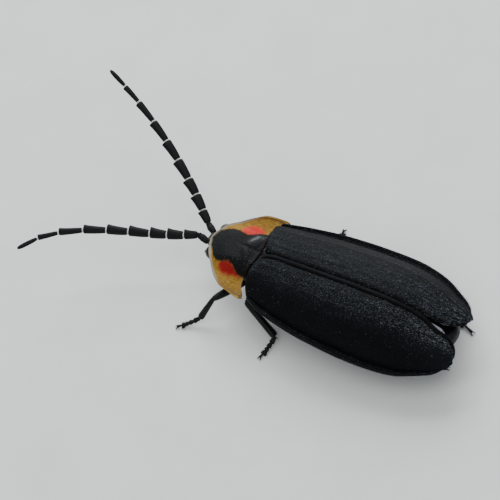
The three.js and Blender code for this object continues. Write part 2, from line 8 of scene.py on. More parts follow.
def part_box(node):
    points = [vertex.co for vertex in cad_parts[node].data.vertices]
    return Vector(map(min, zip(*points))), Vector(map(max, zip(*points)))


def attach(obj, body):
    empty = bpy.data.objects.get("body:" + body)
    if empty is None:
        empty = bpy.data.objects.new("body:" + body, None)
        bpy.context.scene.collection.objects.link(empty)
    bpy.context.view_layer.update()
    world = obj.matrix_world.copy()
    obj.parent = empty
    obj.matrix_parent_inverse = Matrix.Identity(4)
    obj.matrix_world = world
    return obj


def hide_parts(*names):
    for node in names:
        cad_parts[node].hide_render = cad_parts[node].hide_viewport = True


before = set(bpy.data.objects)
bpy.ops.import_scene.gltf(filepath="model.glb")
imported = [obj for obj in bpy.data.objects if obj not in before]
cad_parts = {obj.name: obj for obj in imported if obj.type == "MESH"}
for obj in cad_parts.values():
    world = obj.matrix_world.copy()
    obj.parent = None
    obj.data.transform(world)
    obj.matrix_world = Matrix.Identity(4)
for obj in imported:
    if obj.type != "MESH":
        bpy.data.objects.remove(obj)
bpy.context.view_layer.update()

# Lengths below are millimetres. A piece is modelled level, head towards -Y and left side
# towards +X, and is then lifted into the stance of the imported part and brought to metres.
stance = {
    "headUp": math.radians(2.5),
    "rideHeight": 1.6,
    "metre": 0.001,
}

# The camera's right and up in the level body's own directions, and what the photo says of scale
cameraLook = {
    "right": (-0.5228, 0.8156, -0.2596),
    "up": (-0.7777, -0.3227, 0.5359),
    "distance": 100.0,
    "pixelsPerMm": 28.2,
    "bodyZeroPixel": (263.3, 261.4),
    "picture": 500,
    "sensor": 36.0,
}

dice = np.random.default_rng(11)


def say(stage):
    print("firefly:", stage)


def step(low, high, value):
    share = min(1.0, max(0.0, (value - low) / (high - low)))
    return share * share * (3 - 2 * share)


def bump(value, centre, width):
    return math.exp(-((value - centre) / width) ** 2)


def mix(a, b, share):
    return a + (b - a) * share


# The level body's place in the frame, read from the boxes of the two wing cases
leftCase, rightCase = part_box("elytron_left"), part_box("elytron_right")
tipReach = 8.3
shiftX = (leftCase[1][0] + rightCase[0][0]) / 2 / stance["metre"]
shiftY = leftCase[1][1] / stance["metre"] - tipReach * math.cos(stance["headUp"])
footprint = Matrix.Translation((shiftX, shiftY, 0))
lifted = Matrix.Translation((0, 0, stance["rideHeight"]))
toStance = footprint @ lifted @ Matrix.Rotation(-stance["headUp"], 4, "X")
toMetres = Matrix.Scale(stance["metre"], 4)
mirror = Matrix.Scale(-1, 4, (1, 0, 0))


# Working with objects

def clearSelection():
    if bpy.context.object and bpy.context.object.mode != "OBJECT":
        bpy.ops.object.mode_set(mode="OBJECT")
    bpy.ops.object.select_all(action="DESELECT")


def choose(piece):
    clearSelection()
    piece.select_set(True)
    bpy.context.view_layer.objects.active = piece


def useModifier(piece, kind, **settings):
    choose(piece)
    modifier = piece.modifiers.new(kind.title(), kind)
    for key, value in settings.items():
        setattr(modifier, key, value)
    bpy.ops.object.modifier_apply(modifier=modifier.name)


def smoothOut(piece, levels=1):
    useModifier(piece, "SUBSURF", levels=levels, render_levels=levels)


def editAll(piece):
    choose(piece)
    bpy.ops.object.mode_set(mode="EDIT")
    bpy.ops.mesh.select_all(action="SELECT")


def cleanFaces(piece, reach=0.0005):
    editAll(piece)
    bpy.ops.mesh.remove_doubles(threshold=reach)
    bpy.ops.mesh.normals_make_consistent(inside=False)
    bpy.ops.object.mode_set(mode="OBJECT")


def copyOf(piece, name):
    twin = piece.copy()
    twin.data = piece.data.copy()
    twin.name = name
    bpy.context.collection.objects.link(twin)
    return twin


def moveMesh(piece, matrix):
    piece.data.transform(matrix)
    if matrix.determinant() < 0:
        piece.data.flip_normals()
    piece.data.update()


def joinAll(pieces, name):
    clearSelection()
    for piece in pieces:
        piece.select_set(True)
    bpy.context.view_layer.objects.active = pieces[0]
    if len(pieces) > 1:
        bpy.ops.object.join()
    pieces[0].name = name
    return pieces[0]


def drop(*pieces):
    for piece in pieces:
        bpy.data.objects.remove(piece, do_unlink=True)


def setIn(piece, nodes, placing=None, smooth=True):
    if placing is not None:
        moveMesh(piece, placing)
    moveMesh(piece, toMetres)
    choose(piece)
    if smooth:
        bpy.ops.object.shade_smooth()
    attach(piece, "root")
    if nodes:
        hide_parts(*nodes)


def paint(piece, name, values):
    layer = piece.data.attributes.new(name, "FLOAT", "POINT")
    layer.data.foreach_set("value", np.asarray(values, dtype=np.float32))


# An open sheet has no inside, so its faces are turned to the side that is up
def faceUp(piece):
    if sum(face.normal.z * face.area for face in piece.data.polygons) < 0:
        piece.data.flip_normals()


# A plate bent from a flat grid: placeAt gives the point for shares across and along, and grow
# is the side that the wall is built on, 1 over the sheet and -1 under it
def bentPlate(name, finish, across, along, placeAt, thickness, grow=-1):
    clearSelection()
    bpy.ops.mesh.primitive_grid_add(x_subdivisions=across, y_subdivisions=along, size=1, calc_uvs=True)
    piece = bpy.context.object
    piece.name = name
    for vertex in piece.data.vertices:
        vertex.co = placeAt(vertex.co.x + 0.5, vertex.co.y + 0.5)
    cleanFaces(piece)
    faceUp(piece)
    useModifier(piece, "SOLIDIFY", thickness=thickness, offset=grow, use_even_offset=False)
    smoothOut(piece)
    piece.data.materials.append(finishes[finish])
    return piece


# A closed limb drawn out of one disc: each step is (along, aside, wide, deep)
def drawnOut(name, steps, finish="body", sides=12, levels=2):
    clearSelection()
    bpy.ops.mesh.primitive_circle_add(vertices=sides, radius=0.5, fill_type="NGON")
    piece = bpy.context.object
    piece.name = name
    editAll(piece)
    along, aside, wide, deep = steps[0]
    bpy.ops.transform.resize(value=(wide, deep, 1), center_override=(0, 0, 0))
    bpy.ops.transform.translate(value=(aside, 0, along))
    for nextAlong, nextAside, nextWide, nextDeep in steps[1:]:
        bpy.ops.mesh.extrude_region_move(
            TRANSFORM_OT_translate={"value": (nextAside - aside, 0, nextAlong - along)})
        centre = (nextAside, 0, nextAlong)
        bpy.ops.transform.resize(value=(nextWide / wide, nextDeep / deep, 1), center_override=centre)
        along, aside, wide, deep = nextAlong, nextAside, nextWide, nextDeep
    bpy.ops.mesh.select_all(action="SELECT")
    bpy.ops.mesh.normals_make_consistent(inside=False)
    bpy.ops.object.mode_set(mode="OBJECT")
    smoothOut(piece, levels)
    piece.data.materials.append(finishes[finish])
    return piece


# Sets a copy of a drawn-out piece between two points
def setAlong(pattern, name, start, end, side, wide, deep):
    start, end, side = Vector(start), Vector(end), Vector(side)
    along = end - start
    side = (side - along.normalized() * side.dot(along.normalized())).normalized()
    over = along.normalized().cross(side)
    twin = copyOf(pattern, name)
    matrix = Matrix((side * wide, over * deep, along)).transposed().to_4x4()
    moveMesh(twin, Matrix.Translation(start) @ matrix)
    return twin


# A trunk of soft-cornered cross sections (y, half, top, bottom) drawn over a cylinder's rings
def softTrunk(name, sections, sides, squareness):
    clearSelection()
    bpy.ops.mesh.primitive_cylinder_add(vertices=sides, radius=1, depth=1, end_fill_type="TRIFAN")
    piece = bpy.context.object
    piece.name = name
    editAll(piece)
    spans = len(sections) - 1
    for cut in range(1, spans):
        bpy.ops.mesh.select_all(action="SELECT")
        bpy.ops.mesh.bisect(plane_co=(0, 0, cut / spans - 0.5), plane_no=(0, 0, 1))
    bpy.ops.object.mode_set(mode="OBJECT")
    for vertex in piece.data.vertices:
        y, half, top, bottom = sections[min(spans, max(0, round((vertex.co.z + 0.5) * spans)))]
        middle, high = (top + bottom) / 2, (top - bottom) / 2
        reach = math.hypot(vertex.co.x, vertex.co.y)
        if reach < 0.5:
            vertex.co = (0, y, middle)
            continue
        across, up = (math.copysign(abs(way / reach) ** squareness, way) for way in vertex.co.xy)
        vertex.co = (half * across, y, middle + high * up)
    cleanFaces(piece)
    smoothOut(piece)
    piece.data.materials.append(finishes["body"])
    return piece


def ball(name, finish, segments, rings, placeAt):
    clearSelection()
    bpy.ops.mesh.primitive_uv_sphere_add(segments=segments, ring_count=rings, radius=1)
    piece = bpy.context.object
    piece.name = name
    for vertex in piece.data.vertices:
        vertex.co = placeAt(*vertex.co)
    piece.data.materials.append(finishes[finish])
    return piece


# Finishes

def newFinish(name):
    material = bpy.data.materials.new(name)
    material.use_nodes = True
    kit = material.node_tree
    place = kit.nodes.new("ShaderNodeTexCoord")
    return material, kit, kit.nodes.get("Principled BSDF"), place.outputs["Object"]


# A number or a colour is set on an input, the output of another node is linked to it
def dress(kit, node, values):
    for name, value in values.items():
        if isinstance(value, (int, float, tuple)):
            node.inputs[name].default_value = value
        else:
            kit.links.new(value, node.inputs[name])


def added(kit, kind, values, **settings):
    node = kit.nodes.new("ShaderNode" + kind)
    for key, value in settings.items():
        setattr(node, key, value)
    dress(kit, node, values)
    return node


def noiseOf(kit, place, grain, detail=3.0, roughness=0.55):
    scale = 1 / (grain * stance["metre"])
    values = {"Vector": place, "Scale": scale, "Detail": detail, "Roughness": roughness}
    return added(kit, "TexNoise", values).outputs["Fac"]


def cellsOf(kit, place, grain, spread=1.0):
    values = {"Vector": place, "Scale": 1 / (grain * stance["metre"]), "Randomness": spread}
    return added(kit, "TexVoronoi", values).outputs["Distance"]


def mapped(kit, source, low, high, toLow=0.0, toHigh=1.0):
    values = {"Value": source, "From Min": low, "From Max": high, "To Min": toLow, "To Max": toHigh}
    return added(kit, "MapRange", values, interpolation_type="SMOOTHSTEP").outputs["Result"]


def sumOf(kit, first, second, weight=1.0):
    return added(kit, "Math", {0: second, 1: weight, 2: first}, operation="MULTIPLY_ADD").outputs[0]


def calc(kit, operation, first, second=0.0):
    return added(kit, "Math", {0: first, 1: second}, operation=operation).outputs[0]


# Shares across and along a plate, from the map that its grid was made with
def sharesOf(kit, power):
    chart = added(kit, "UVMap", {}, uv_map="UVMap")
    parts = added(kit, "SeparateXYZ", {0: chart.outputs["UV"]})
    return calc(kit, "POWER", parts.outputs["X"], power), parts.outputs["Y"]


def blended(kit, share, first, second):
    first, second = ((*value, 1) if isinstance(value, tuple) else value for value in (first, second))
    return added(kit, "Mix", {"Factor": share, "A": first, "B": second}, data_type="RGBA").outputs["Result"]


def raised(kit, shader, height, depth, strength):
    node = added(kit, "Bump", {"Strength": strength, "Distance": depth * stance["metre"], "Height": height})
    kit.links.new(node.outputs["Normal"], shader.inputs["Normal"])
    return node


def masked(kit, name):
    return added(kit, "Attribute", {}, attribute_name=name).outputs["Fac"]


caseFinish = {
    "deep": (0.0016, 0.0017, 0.0020),
    # painted glints: the lit speck colour stands in for light caught on the hairs and grain, partly their
    # real pale tone
    "glintLit": (0.072, 0.092, 0.115),
    "tip": (0.0060, 0.0078, 0.0110),
    # painted sheen: a bluish-grey reflection on the smooth hind part of the case
    "margin": (0.0065, 0.0070, 0.0080),
    "dot": (0.0015, 0.0015, 0.0018),
    "grain": (0.050, 4.0, 0.65),
    "fine": (0.024, 3.0, 0.6),
    "cloud": (0.7, 2.0),
    "pits": 0.085,
    # what a share is mapped from and to
    "speck": (0.90, 1.22),
    # how strong the painted glints are: cut by painted shade along the seam (inner) and on the outer side
    # (outer), weaker towards the rear, patchy at random, stronger in a band along the fold
    "inner": (0.03, 0.13),
    "outer": (0.34, 0.62, 1.0, 0.14),
    "rear": (0.50, 0.90, 1.0, 0.45),
    "patchy": (0.25, 0.7, 0.5, 1.0),
    "foldGlintBand": (0.84, 0.90, 0.0, 0.5),
    "tipShare": (0.55, 0.98, 0.0, 0.85),
    "marginShare": (0.93, 0.96, 0.0, 0.5),
    "roughness": (0.3, 0.7, 0.48, 0.64),
    "dotWave": (0.1, 0.8),
    "dotReach": (0.004, 0.016, 1.0, 0.0),
    "dots": 88.0,
    "dotRow": 0.955,
    "columnPower": 1.25,
    "relief": (0.016, 0.9),
}


def makeCaseFinish():
    look = caseFinish
    material, kit, shader, place = newFinish("wingCaseBlack")
    across, along = sharesOf(kit, look["columnPower"])
    grain, fine, cloud = (noiseOf(kit, place, *look[name]) for name in ("grain", "fine", "cloud"))
    # Specks of painted glint on the hairs and grain, partly their real pale tone, cut back by painted shade
    # along the seam and on the outer side
    speck = mapped(kit, sumOf(kit, grain, fine, 0.8), *look["speck"])
    strength = inner = mapped(kit, across, *look["inner"])
    for share, name in ((across, "outer"), (along, "rear"), (cloud, "patchy")):
        strength = calc(kit, "MULTIPLY", strength, mapped(kit, share, *look[name]))
    strength = calc(kit, "MAXIMUM", strength, mapped(kit, across, *look["foldGlintBand"]))
    colour = blended(kit, calc(kit, "MULTIPLY", speck, strength), look["deep"], look["glintLit"])
    # Painted bluish-grey sheen on the smooth hind part, kept off the painted shade along the seam
    tipShare = calc(kit, "MULTIPLY", mapped(kit, along, *look["tipShare"]), inner)
    colour = blended(kit, tipShare, colour, look["tip"])
    colour = blended(kit, mapped(kit, across, *look["marginShare"]), colour, look["margin"])
    wave = calc(kit, "SINE", calc(kit, "MULTIPLY", along, look["dots"] * 2 * math.pi))
    offRow = calc(kit, "ABSOLUTE", calc(kit, "SUBTRACT", across, look["dotRow"]))
    dots = calc(kit, "MULTIPLY", mapped(kit, wave, *look["dotWave"]), mapped(kit, offRow, *look["dotReach"]))
    dress(kit, shader, {
        "Base Color": blended(kit, dots, colour, look["dot"]),
        "Roughness": mapped(kit, grain, *look["roughness"]),
        "IOR": 1.38,
        "Specular IOR Level": 0.10,
    })
    pits = mapped(kit, cellsOf(kit, place, look["pits"]), 0.0, 0.55)
    height = sumOf(kit, sumOf(kit, grain, pits, 0.8), dots, -1.6)
    raised(kit, shader, height, *look["relief"])
    return material


shieldFinish = {
    "black": (0.0020, 0.0020, 0.0024),
    "amber": (0.36, 0.200, 0.022),
    "amberDeep": (0.25, 0.122, 0.009),
    # lit and shaded copies of the spots' red: the deep red is painted shade on the left spot, the pale red
    # painted light on the right spot
    "red": (0.32, 0.009, 0.008),
    "redLit": (0.62, 0.024, 0.016),
    "speck": (0.0085, 0.0090, 0.0105),
    "rim": (0.36, 0.31, 0.22),
    "hindRim": (0.026, 0.006, 0.003),
    "wander": (0.16, 3.0),
    "grain": (0.05, 4.0, 0.6),
    "pits": 0.075,
    "relief": (0.016, 0.9),
    "shader": {
        "Specular IOR Level": 0.14,
        "Coat Roughness": 0.30,
        "Coat Tint": (0.80, 0.92, 1.0, 1),
        "Subsurface Weight": 0.12,
        "Subsurface Radius": (1.0, 0.45, 0.15),
        "Subsurface Scale": 0.00018,
    },
}


def makeShieldFinish():
    look = shieldFinish
    material, kit, shader, place = newFinish("shieldHorn")
    wander, fine = noiseOf(kit, place, *look["wander"]), noiseOf(kit, place, *look["grain"])
    amber = mapped(kit, sumOf(kit, wander, fine, 0.5), 0.5, 1.0)
    amber = blended(kit, amber, look["amber"], look["amberDeep"])
    rimShare = mapped(kit, sumOf(kit, masked(kit, "rim"), wander, 0.25), 0.45, 0.95)
    sides = blended(kit, rimShare, amber, look["rim"])
    # Painted light and shade on the red spots: pale red on the right side, deep red on the left
    red = blended(kit, mapped(kit, masked(kit, "litSpotSide"), 0.3, 0.7), look["red"], look["redLit"])
    spotEdge = sumOf(kit, masked(kit, "spot"), sumOf(kit, wander, fine, 0.9), 0.36)
    spotted = blended(kit, mapped(kit, spotEdge, 0.70, 1.08), sides, red)
    discEdge = sumOf(kit, masked(kit, "disc"), wander, 0.26)
    black = blended(kit, mapped(kit, fine, 0.52, 0.72), look["black"], look["speck"])
    darkened = blended(kit, mapped(kit, discEdge, 0.54, 0.76), spotted, black)
    hind = mapped(kit, masked(kit, "hindRim"), 0.4, 0.9)
    gloss = masked(kit, "gloss")
    dress(kit, shader, {
        "Base Color": blended(kit, hind, darkened, look["hindRim"]),
        "Roughness": mapped(kit, sumOf(kit, gloss, fine, 0.3), 0.2, 1.2, 0.58, 0.34),
        "Coat Weight": mapped(kit, gloss, 0.25, 1.0, 0.0, 0.62),
        **look["shader"],
    })
    pits = mapped(kit, cellsOf(kit, place, look["pits"]), 0.0, 0.5)
    bumped = raised(kit, shader, sumOf(kit, fine, pits, 0.7), *look["relief"])
    kit.links.new(bumped.outputs["Normal"], shader.inputs["Coat Normal"])
    return material


eyeFinish = {
    "facet": (0.022, 0.25),
    "colours": ((0.010, 0.010, 0.011), (0.002, 0.002, 0.002)),
    "relief": (0.002, 0.6),
    "shader": {"Roughness": 0.30, "Specular IOR Level": 0.3, "Coat Weight": 0.10, "Coat Roughness": 0.15},
}


def makeEyeFinish():
    material, kit, shader, place = newFinish("eyeBlack")
    facets = cellsOf(kit, place, *eyeFinish["facet"])
    colour = blended(kit, mapped(kit, facets, 0.1, 0.6), *eyeFinish["colours"])
    dress(kit, shader, {"Base Color": colour, **eyeFinish["shader"]})
    raised(kit, shader, mapped(kit, facets, 0.0, 0.6, 1.0, 0.0), *eyeFinish["relief"])
    return material


wingFinish = {
    "cloud": (0.25, 3.0),
    # painted sheen: the pale lilac-grey film stands in for the sky's reflection on the dark smoky membrane
    "film": ((0.30, 0.28, 0.36), (0.17, 0.16, 0.20)),
    "vein": (0.03, 0.022, 0.018),
    "relief": (0.01, 0.6),
    "shader": {"Roughness": 0.3, "Coat Weight": 0.3, "Coat Roughness": 0.2},
}


def makeWingFinish():
    material, kit, shader, place = newFinish("wingSmokeSheen")
    cloud = noiseOf(kit, place, *wingFinish["cloud"])
    # Painted reflection: the film's lilac-grey is a sheen laid over the smoky membrane
    film = blended(kit, mapped(kit, cloud, 0.3, 0.75), *wingFinish["film"])
    vein = mapped(kit, masked(kit, "vein"), 0.3, 0.8)
    dress(kit, shader, {"Base Color": blended(kit, vein, film, wingFinish["vein"]), **wingFinish["shader"]})
    raised(kit, shader, cloud, *wingFinish["relief"])
    return material


# Finishes of two colours that a noise mixes: "cloud" where it is set, else "grain"
plainFinishes = {
    "body": {
        "name": "bodyBlack",
        "grain": (0.03, 4.0, 0.6),
        "cloud": (0.35, 3.0),
        "range": (0.35, 0.75),
        "colours": ((0.0022, 0.0022, 0.0026), (0.0075, 0.0070, 0.0070)),
        "roughness": (0.3, 0.7, 0.28, 0.48),
        "relief": (0.006, 0.8),
        "shader": {"Specular IOR Level": 0.18},
    },
    "feeler": {
        "name": "feelerBlack",
        "grain": (0.035, 4.0, 0.6),
        "range": (0.4, 0.75),
        "colours": ((0.0022, 0.0022, 0.0026), (0.0095, 0.0100, 0.0115)),
        "roughness": (0.3, 0.7, 0.45, 0.65),
        "relief": (0.008, 0.9),
        "shader": {"Specular IOR Level": 0.16},
    },
    "joint": {
        "name": "feelerJoint",
        "grain": (0.03, 2.0),
        "range": (0.3, 0.8),
        "colours": ((0.66, 0.66, 0.60), (0.42, 0.42, 0.38)),
        "shader": {"Roughness": 0.5},
    },
    "claw": {
        "name": "clawBrown",
        "grain": (0.04, 3.0),
        "range": (0.3, 0.7),
        "colours": ((0.040, 0.016, 0.009), (0.010, 0.006, 0.005)),
        "relief": (0.004, 0.5),
        "shader": {"Roughness": 0.35},
    },
    "paleHair": {
        "name": "paleHair",
        "grain": (0.12, 2.0),
        "range": (0.35, 0.7),
        "colours": ((0.026, 0.031, 0.037), (0.125, 0.148, 0.172)),
        "shader": {"Roughness": 0.45},
    },
    "floor": {
        "name": "paleFloor",
        "grain": (3.0, 3.0),
        "range": (0.3, 0.7),
        "colours": ((0.80, 0.81, 0.79), (0.84, 0.85, 0.83)),
        "shader": {"Roughness": 0.85},
    },
}


def makePlainFinish(look):
    material, kit, shader, place = newFinish(look["name"])
    grain = noiseOf(kit, place, *look["grain"])
    cloud = noiseOf(kit, place, *look["cloud"]) if "cloud" in look else grain
    colour = blended(kit, mapped(kit, cloud, *look["range"]), *look["colours"])
    dress(kit, shader, {"Base Color": colour, **look["shader"]})
    if "roughness" in look:
        dress(kit, shader, {"Roughness": mapped(kit, grain, *look["roughness"])})
    if "relief" in look:
        raised(kit, shader, grain, *look["relief"])
    return material


finishes = {name: makePlainFinish(look) for name, look in plainFinishes.items()}
finishes.update(case=makeCaseFinish(), shield=makeShieldFinish(), eye=makeEyeFinish(), wing=makeWingFinish())


# Hairs: one joined mesh of fine three-sided spikes, each with its own patch in the bake map
def hairCoat(name, hairs, finish, spread=0.0015):
    points, faces, patches = [], [], []
    for root, tip, width, spot in hairs:
        root, tip = Vector(root), Vector(tip)
        along = (tip - root).normalized()
        side = along.orthogonal().normalized()
        over = along.cross(side)
        first = len(points)
        for corner in range(3):
            angle = corner * 2 * math.pi / 3
            points.append(root + (side * math.cos(angle) + over * math.sin(angle)) * width)
        points.append(tip)
        faces += [(first, first + 1, first + 3), (first + 1, first + 2, first + 3),
                  (first + 2, first, first + 3), (first + 2, first + 1, first)]
        patches += [spot] * 4
    mesh = bpy.data.meshes.new(name)
    mesh.from_pydata(points, [], faces)
    mesh.materials.append(finish)
    layer = mesh.uv_layers.new(name="OFBake")
    corners = ((-spread, -spread), (spread, -spread), (0, spread))
    values = []
    for spot in patches:
        for dx, dy in corners:
            values += [spot[0] + dx, spot[1] + dy]
    layer.data.foreach_set("uv", values)
    piece = bpy.data.objects.new(name, mesh)
    bpy.context.collection.objects.link(piece)
    return piece


# Wing cases

caseStations = [
    # inner edge, outer edge, height at the seam, height at the margin
    ((0.20, 0.20), (1.60, 0.24), 0.56, 0.04),
    ((0.018, 0.74), (1.91, 1.02), 0.73, -0.04),
    ((0.012, 2.6), (2.17, 2.5), 0.91, -0.12),
    ((0.012, 4.2), (2.28, 4.1), 1.05, -0.16),
    ((0.012, 5.7), (2.27, 5.4), 1.06, -0.18),
    ((0.020, 6.7), (2.05, 6.5), 0.86, -0.17),
    ((0.090, 7.3), (1.66, 7.34), 0.63, -0.13),
    ((0.24, 7.75), (1.38, 7.80), 0.41, -0.09),
    ((0.47, 8.06), (1.12, 8.02), 0.23, -0.06),
    ((0.72, 8.20), (0.86, 8.18), 0.09, 0.0),
]
wingCase = {
    "across": 56,
    "along": 132,
    "thickness": 0.085,
    "foldLine": 0.86,
    "archPower": 2.7,
    "archEase": 0.8,
    "baseBulge": 0.27,
    "baseDrop": 0.26,
    "baseRound": 0.030,
    "costae": (0.22, 0.40, 0.60),
    "costaHeight": 0.018,
    "costaWidth": 0.026,
    "beadWidth": 0.016,
    "rimLift": 0.05,
    "ripple": 0.004,
    # the two cases don't lie quite alike in the photo: left, then right
    "shoulderForward": (-0.06, 0.14),
    "cornerForward": (0.0, 1.9),
    "tailOpening": (0.13, 0.0),
    "beadHeight": (0.045, 0.0),
    "innerRoll": (0.0, 0.09),
    "tailOut": (0.15, 0.0),
    "tailBack": (0.20, 0.0),
}


def caseAt(v):
    place = min(max(v, 0.0), 1.0) * (len(caseStations) - 1)
    here = min(int(place), len(caseStations) - 2)
    share = place - here
    rows = [caseStations[min(max(here + k, 0), len(caseStations) - 1)] for k in (-1, 0, 1, 2)]
    flat = [(*row[0], *row[1], row[2], row[3]) for row in rows]
    result = []
    for a, b, c, d in zip(*flat):
        m1, m2 = (c - a) / 2, (d - b) / 2
        result.append((2 * share ** 3 - 3 * share ** 2 + 1) * b + (share ** 3 - 2 * share ** 2 + share) * m1
                      + (3 * share ** 2 - 2 * share ** 3) * c + (share ** 3 - share ** 2) * m2)
    return result


# Columns stand closer by the seam, where the bead and its groove are
def caseColumn(share):
    return share ** caseFinish["columnPower"]


def casePoint(u, v, right):
    innerX, innerY, outerX, outerY, crown, edge = caseAt(v)
    x = mix(max(innerX, 0.010), outerX, u)
    x += wingCase["tailOut"][right] * u * step(0.42, 0.62, v) * (1 - step(0.88, 1, v))
    x += wingCase["tailOpening"][right] * (1 - u) * bump(v, 0.69, 0.08)
    bulge = wingCase["baseBulge"] * math.sin(math.pi * u) * (1 - step(0, 0.12, v))
    forward = wingCase["shoulderForward"][right] * step(0.1, 0.6, u) * (1 - step(0, 0.13, v))
    forward *= 1 + wingCase["cornerForward"][right] * step(0.55, 0.85, u)
    y = mix(innerY, outerY, u) - bulge - forward + wingCase["tailBack"][right] * step(0.5, 0.78, v)
    across = min(1.0, u / wingCase["foldLine"])
    z = edge + (crown - edge) * (1 - across ** wingCase["archPower"]) ** wingCase["archEase"]
    fade = step(0.0, 0.08, v) * (1 - step(0.8, 0.97, v))
    for costa in wingCase["costae"]:
        z += wingCase["costaHeight"] * bump(u, costa, wingCase["costaWidth"]) * fade
    bead = bump(u, 0.018, wingCase["beadWidth"]) - 0.7 * bump(u, 0.062, 0.02)
    z += wingCase["beadHeight"][right] * fade * bead
    z -= wingCase["innerRoll"][right] * fade * (1 - step(0, 0.085, u))
    z -= wingCase["baseDrop"] * (1 - step(0, wingCase["baseRound"], v)) * (1 - 0.6 * step(0.8, 1, u))
    z += wingCase["rimLift"] * step(0.93, 1.0, u) - 0.02 * bump(u, 0.9, 0.04)
    z += wingCase["ripple"] * math.sin(v * 61 + u * 9) * math.sin(u * 37 - v * 13) * fade
    return Vector((x, y, z))


def makeWingCases():
    say("wing cases")
    for right, name in enumerate(("left", "right")):
        case = bentPlate(
            f"wing_case_{name}", "case", wingCase["across"], wingCase["along"],
            lambda a, b: casePoint(caseColumn(a), b, right), wingCase["thickness"], grow=1)
        if right:
            moveMesh(case, mirror)
        setIn(case, [f"elytron_{name}"], toStance)


hairSink = 0.004


# Where a hair's own patch lies in the bake map
def bakeSpot(u, v):
    return 0.02 + u * 0.96, 0.02 + v * 0.96


caseHair = {
    "count": 5200,
    "fringe": 300,
    "fringeLength": (0.05, 0.09),
    "length": (0.05, 0.095),
    "width": 0.0042,
    "lift": 0.35,
    # where the hairs thin out across a case, left and right
    "thinFrom": (0.26, 0.52),
    "thinTo": (0.44, 0.74),
    "outerShare": 0.06,
    "edgeShare": 0.45,
    "tipShare": 0.12,
}


def makeCaseHair():
    say("hairs of the wing cases")
    for right, name in enumerate(("left", "right")):
        hairs = []
        for _ in range(caseHair["count"]):
            u, v = dice.uniform(0.03, 0.985), dice.uniform(0.015, 0.985)
            thin = step(caseHair["thinFrom"][right], caseHair["thinTo"][right], u)
            share = max(mix(1, caseHair["outerShare"], thin), caseHair["edgeShare"] * step(0.88, 0.93, u))
            if dice.uniform(0, 1) > share * mix(1, caseHair["tipShare"], step(0.62, 0.92, v)):
                continue
            root = casePoint(u, v, right)
            back = casePoint(u, min(v + 0.01, 0.999), right) - root
            away = casePoint(min(u + 0.01, 1.0), v, right) - root
            normal = away.cross(back).normalized()
            root += normal * wingCase["thickness"]
            lie = (back.normalized() + away.normalized() * dice.normal(0, 0.25)).normalized()
            aim = (lie + normal * caseHair["lift"] * dice.uniform(0.6, 1.6)).normalized()
            tip = root + aim * dice.uniform(*caseHair["length"])
            hairs.append((root - normal * hairSink, tip, caseHair["width"], bakeSpot(u, v)))
        for k in range(caseHair["fringe"]):
            v = (k + dice.uniform(0, 1)) / caseHair["fringe"] * 0.97 + 0.01
            root = casePoint(0.995, v, right)
            out = (root - casePoint(0.95, v, right)).normalized()
            back = (casePoint(0.995, min(v + 0.01, 0.999), right) - root).normalized()
            aim = (out * 0.8 + back * 0.8 + Vector((0, 0, dice.normal(0, 0.2)))).normalized()
            tip = root + aim * dice.uniform(*caseHair["fringeLength"])
            hairs.append((root - out * 0.01, tip, caseHair["width"], (0.985, 0.02 + v * 0.96)))
        coat = hairCoat(f"wing_case_hair_{name}", hairs, finishes["paleHair"])
        if right:
            moveMesh(coat, mirror)
        setIn(coat, [], toStance, smooth=False)


# Neck shield

shield = {
    "across": 88,
    "along": 56,
    "half": 1.68,
    "front": -2.35,
    "shoulder": -0.35,
    "frontPower": 1.4,
    "hind": -0.1,
    "hindWave": 0.26,
    "hindCorner": 0.12,
    "cornerBack": 0.26,
    "thickness": 0.075,
    "discHalf": 0.86,
    "discFlare": 0.26,
    "discHeight": 0.5,
    "mound": 0.085,
    "moundCentre": (0.26, -0.58),
    "moundHalf": (0.34, 0.15),
    "slant": (0.78, 0.62),
    "glossCentre": (-0.34, -0.52),
    "glossHalf": (0.40, 0.19),
    "rimLift": 0.07,
    "offset": (-0.08, 0.10),
    "cornerOut": (-0.05, 0.05),
    "cornerDrop": (0.10, 0.02),
}


def shieldEdges(x):
    across = min(1.0, abs(x) / shield["half"])
    reach = shield["shoulder"] - shield["front"]
    front = shield["shoulder"] - reach * math.sqrt(max(0.0, 1 - across ** shield["frontPower"]))
    hind = shield["hind"] - shield["hindWave"] * bump(across, 0.62, 0.26)
    hind += shield["hindCorner"] * step(0.75, 1, across)
    return front + shield["cornerBack"] * step(0.9, 1, across), hind


def shieldTop(x, along):
    across = abs(x) / shield["half"]
    halfHere = shield["discHalf"] * (1 - 0.12 * along)
    side = 1 - step(halfHere - shield["discFlare"], halfHere + shield["discFlare"], abs(x))
    length = 0.35 + 0.65 * step(0, 0.6, along) - 0.12 * step(0.8, 1, along)
    front, hind = shieldEdges(x)
    outward, back = abs(x) - shield["moundCentre"][0], mix(front, hind, along) - shield["moundCentre"][1]
    (long, wide), (ahead, aside) = shield["moundHalf"], shield["slant"]
    lengthwise, crosswise = outward * ahead + back * aside, back * ahead - outward * aside
    mounds = shield["mound"] * bump(lengthwise, 0, long) * bump(crosswise, 0, wide)
    mounds += 0.02 * bump(abs(x), 0.3, 0.24) * bump(along, 0.35, 0.15)
    groove = 0.035 * bump(x, 0, 0.06) * step(0.5, 0.75, along)
    hindFold = 0.05 * bump(along, 0.97, 0.03) * (1 - step(0.5, 0.7, across))
    waves = 0.005 * math.sin(x * 19 + along * 7) * math.sin(along * 23 - x * 5) * step(0.55, 0.7, across)
    rim = shield["rimLift"] * across ** 6
    return shield["discHeight"] * side * length + mounds - groove + hindFold + waves + rim


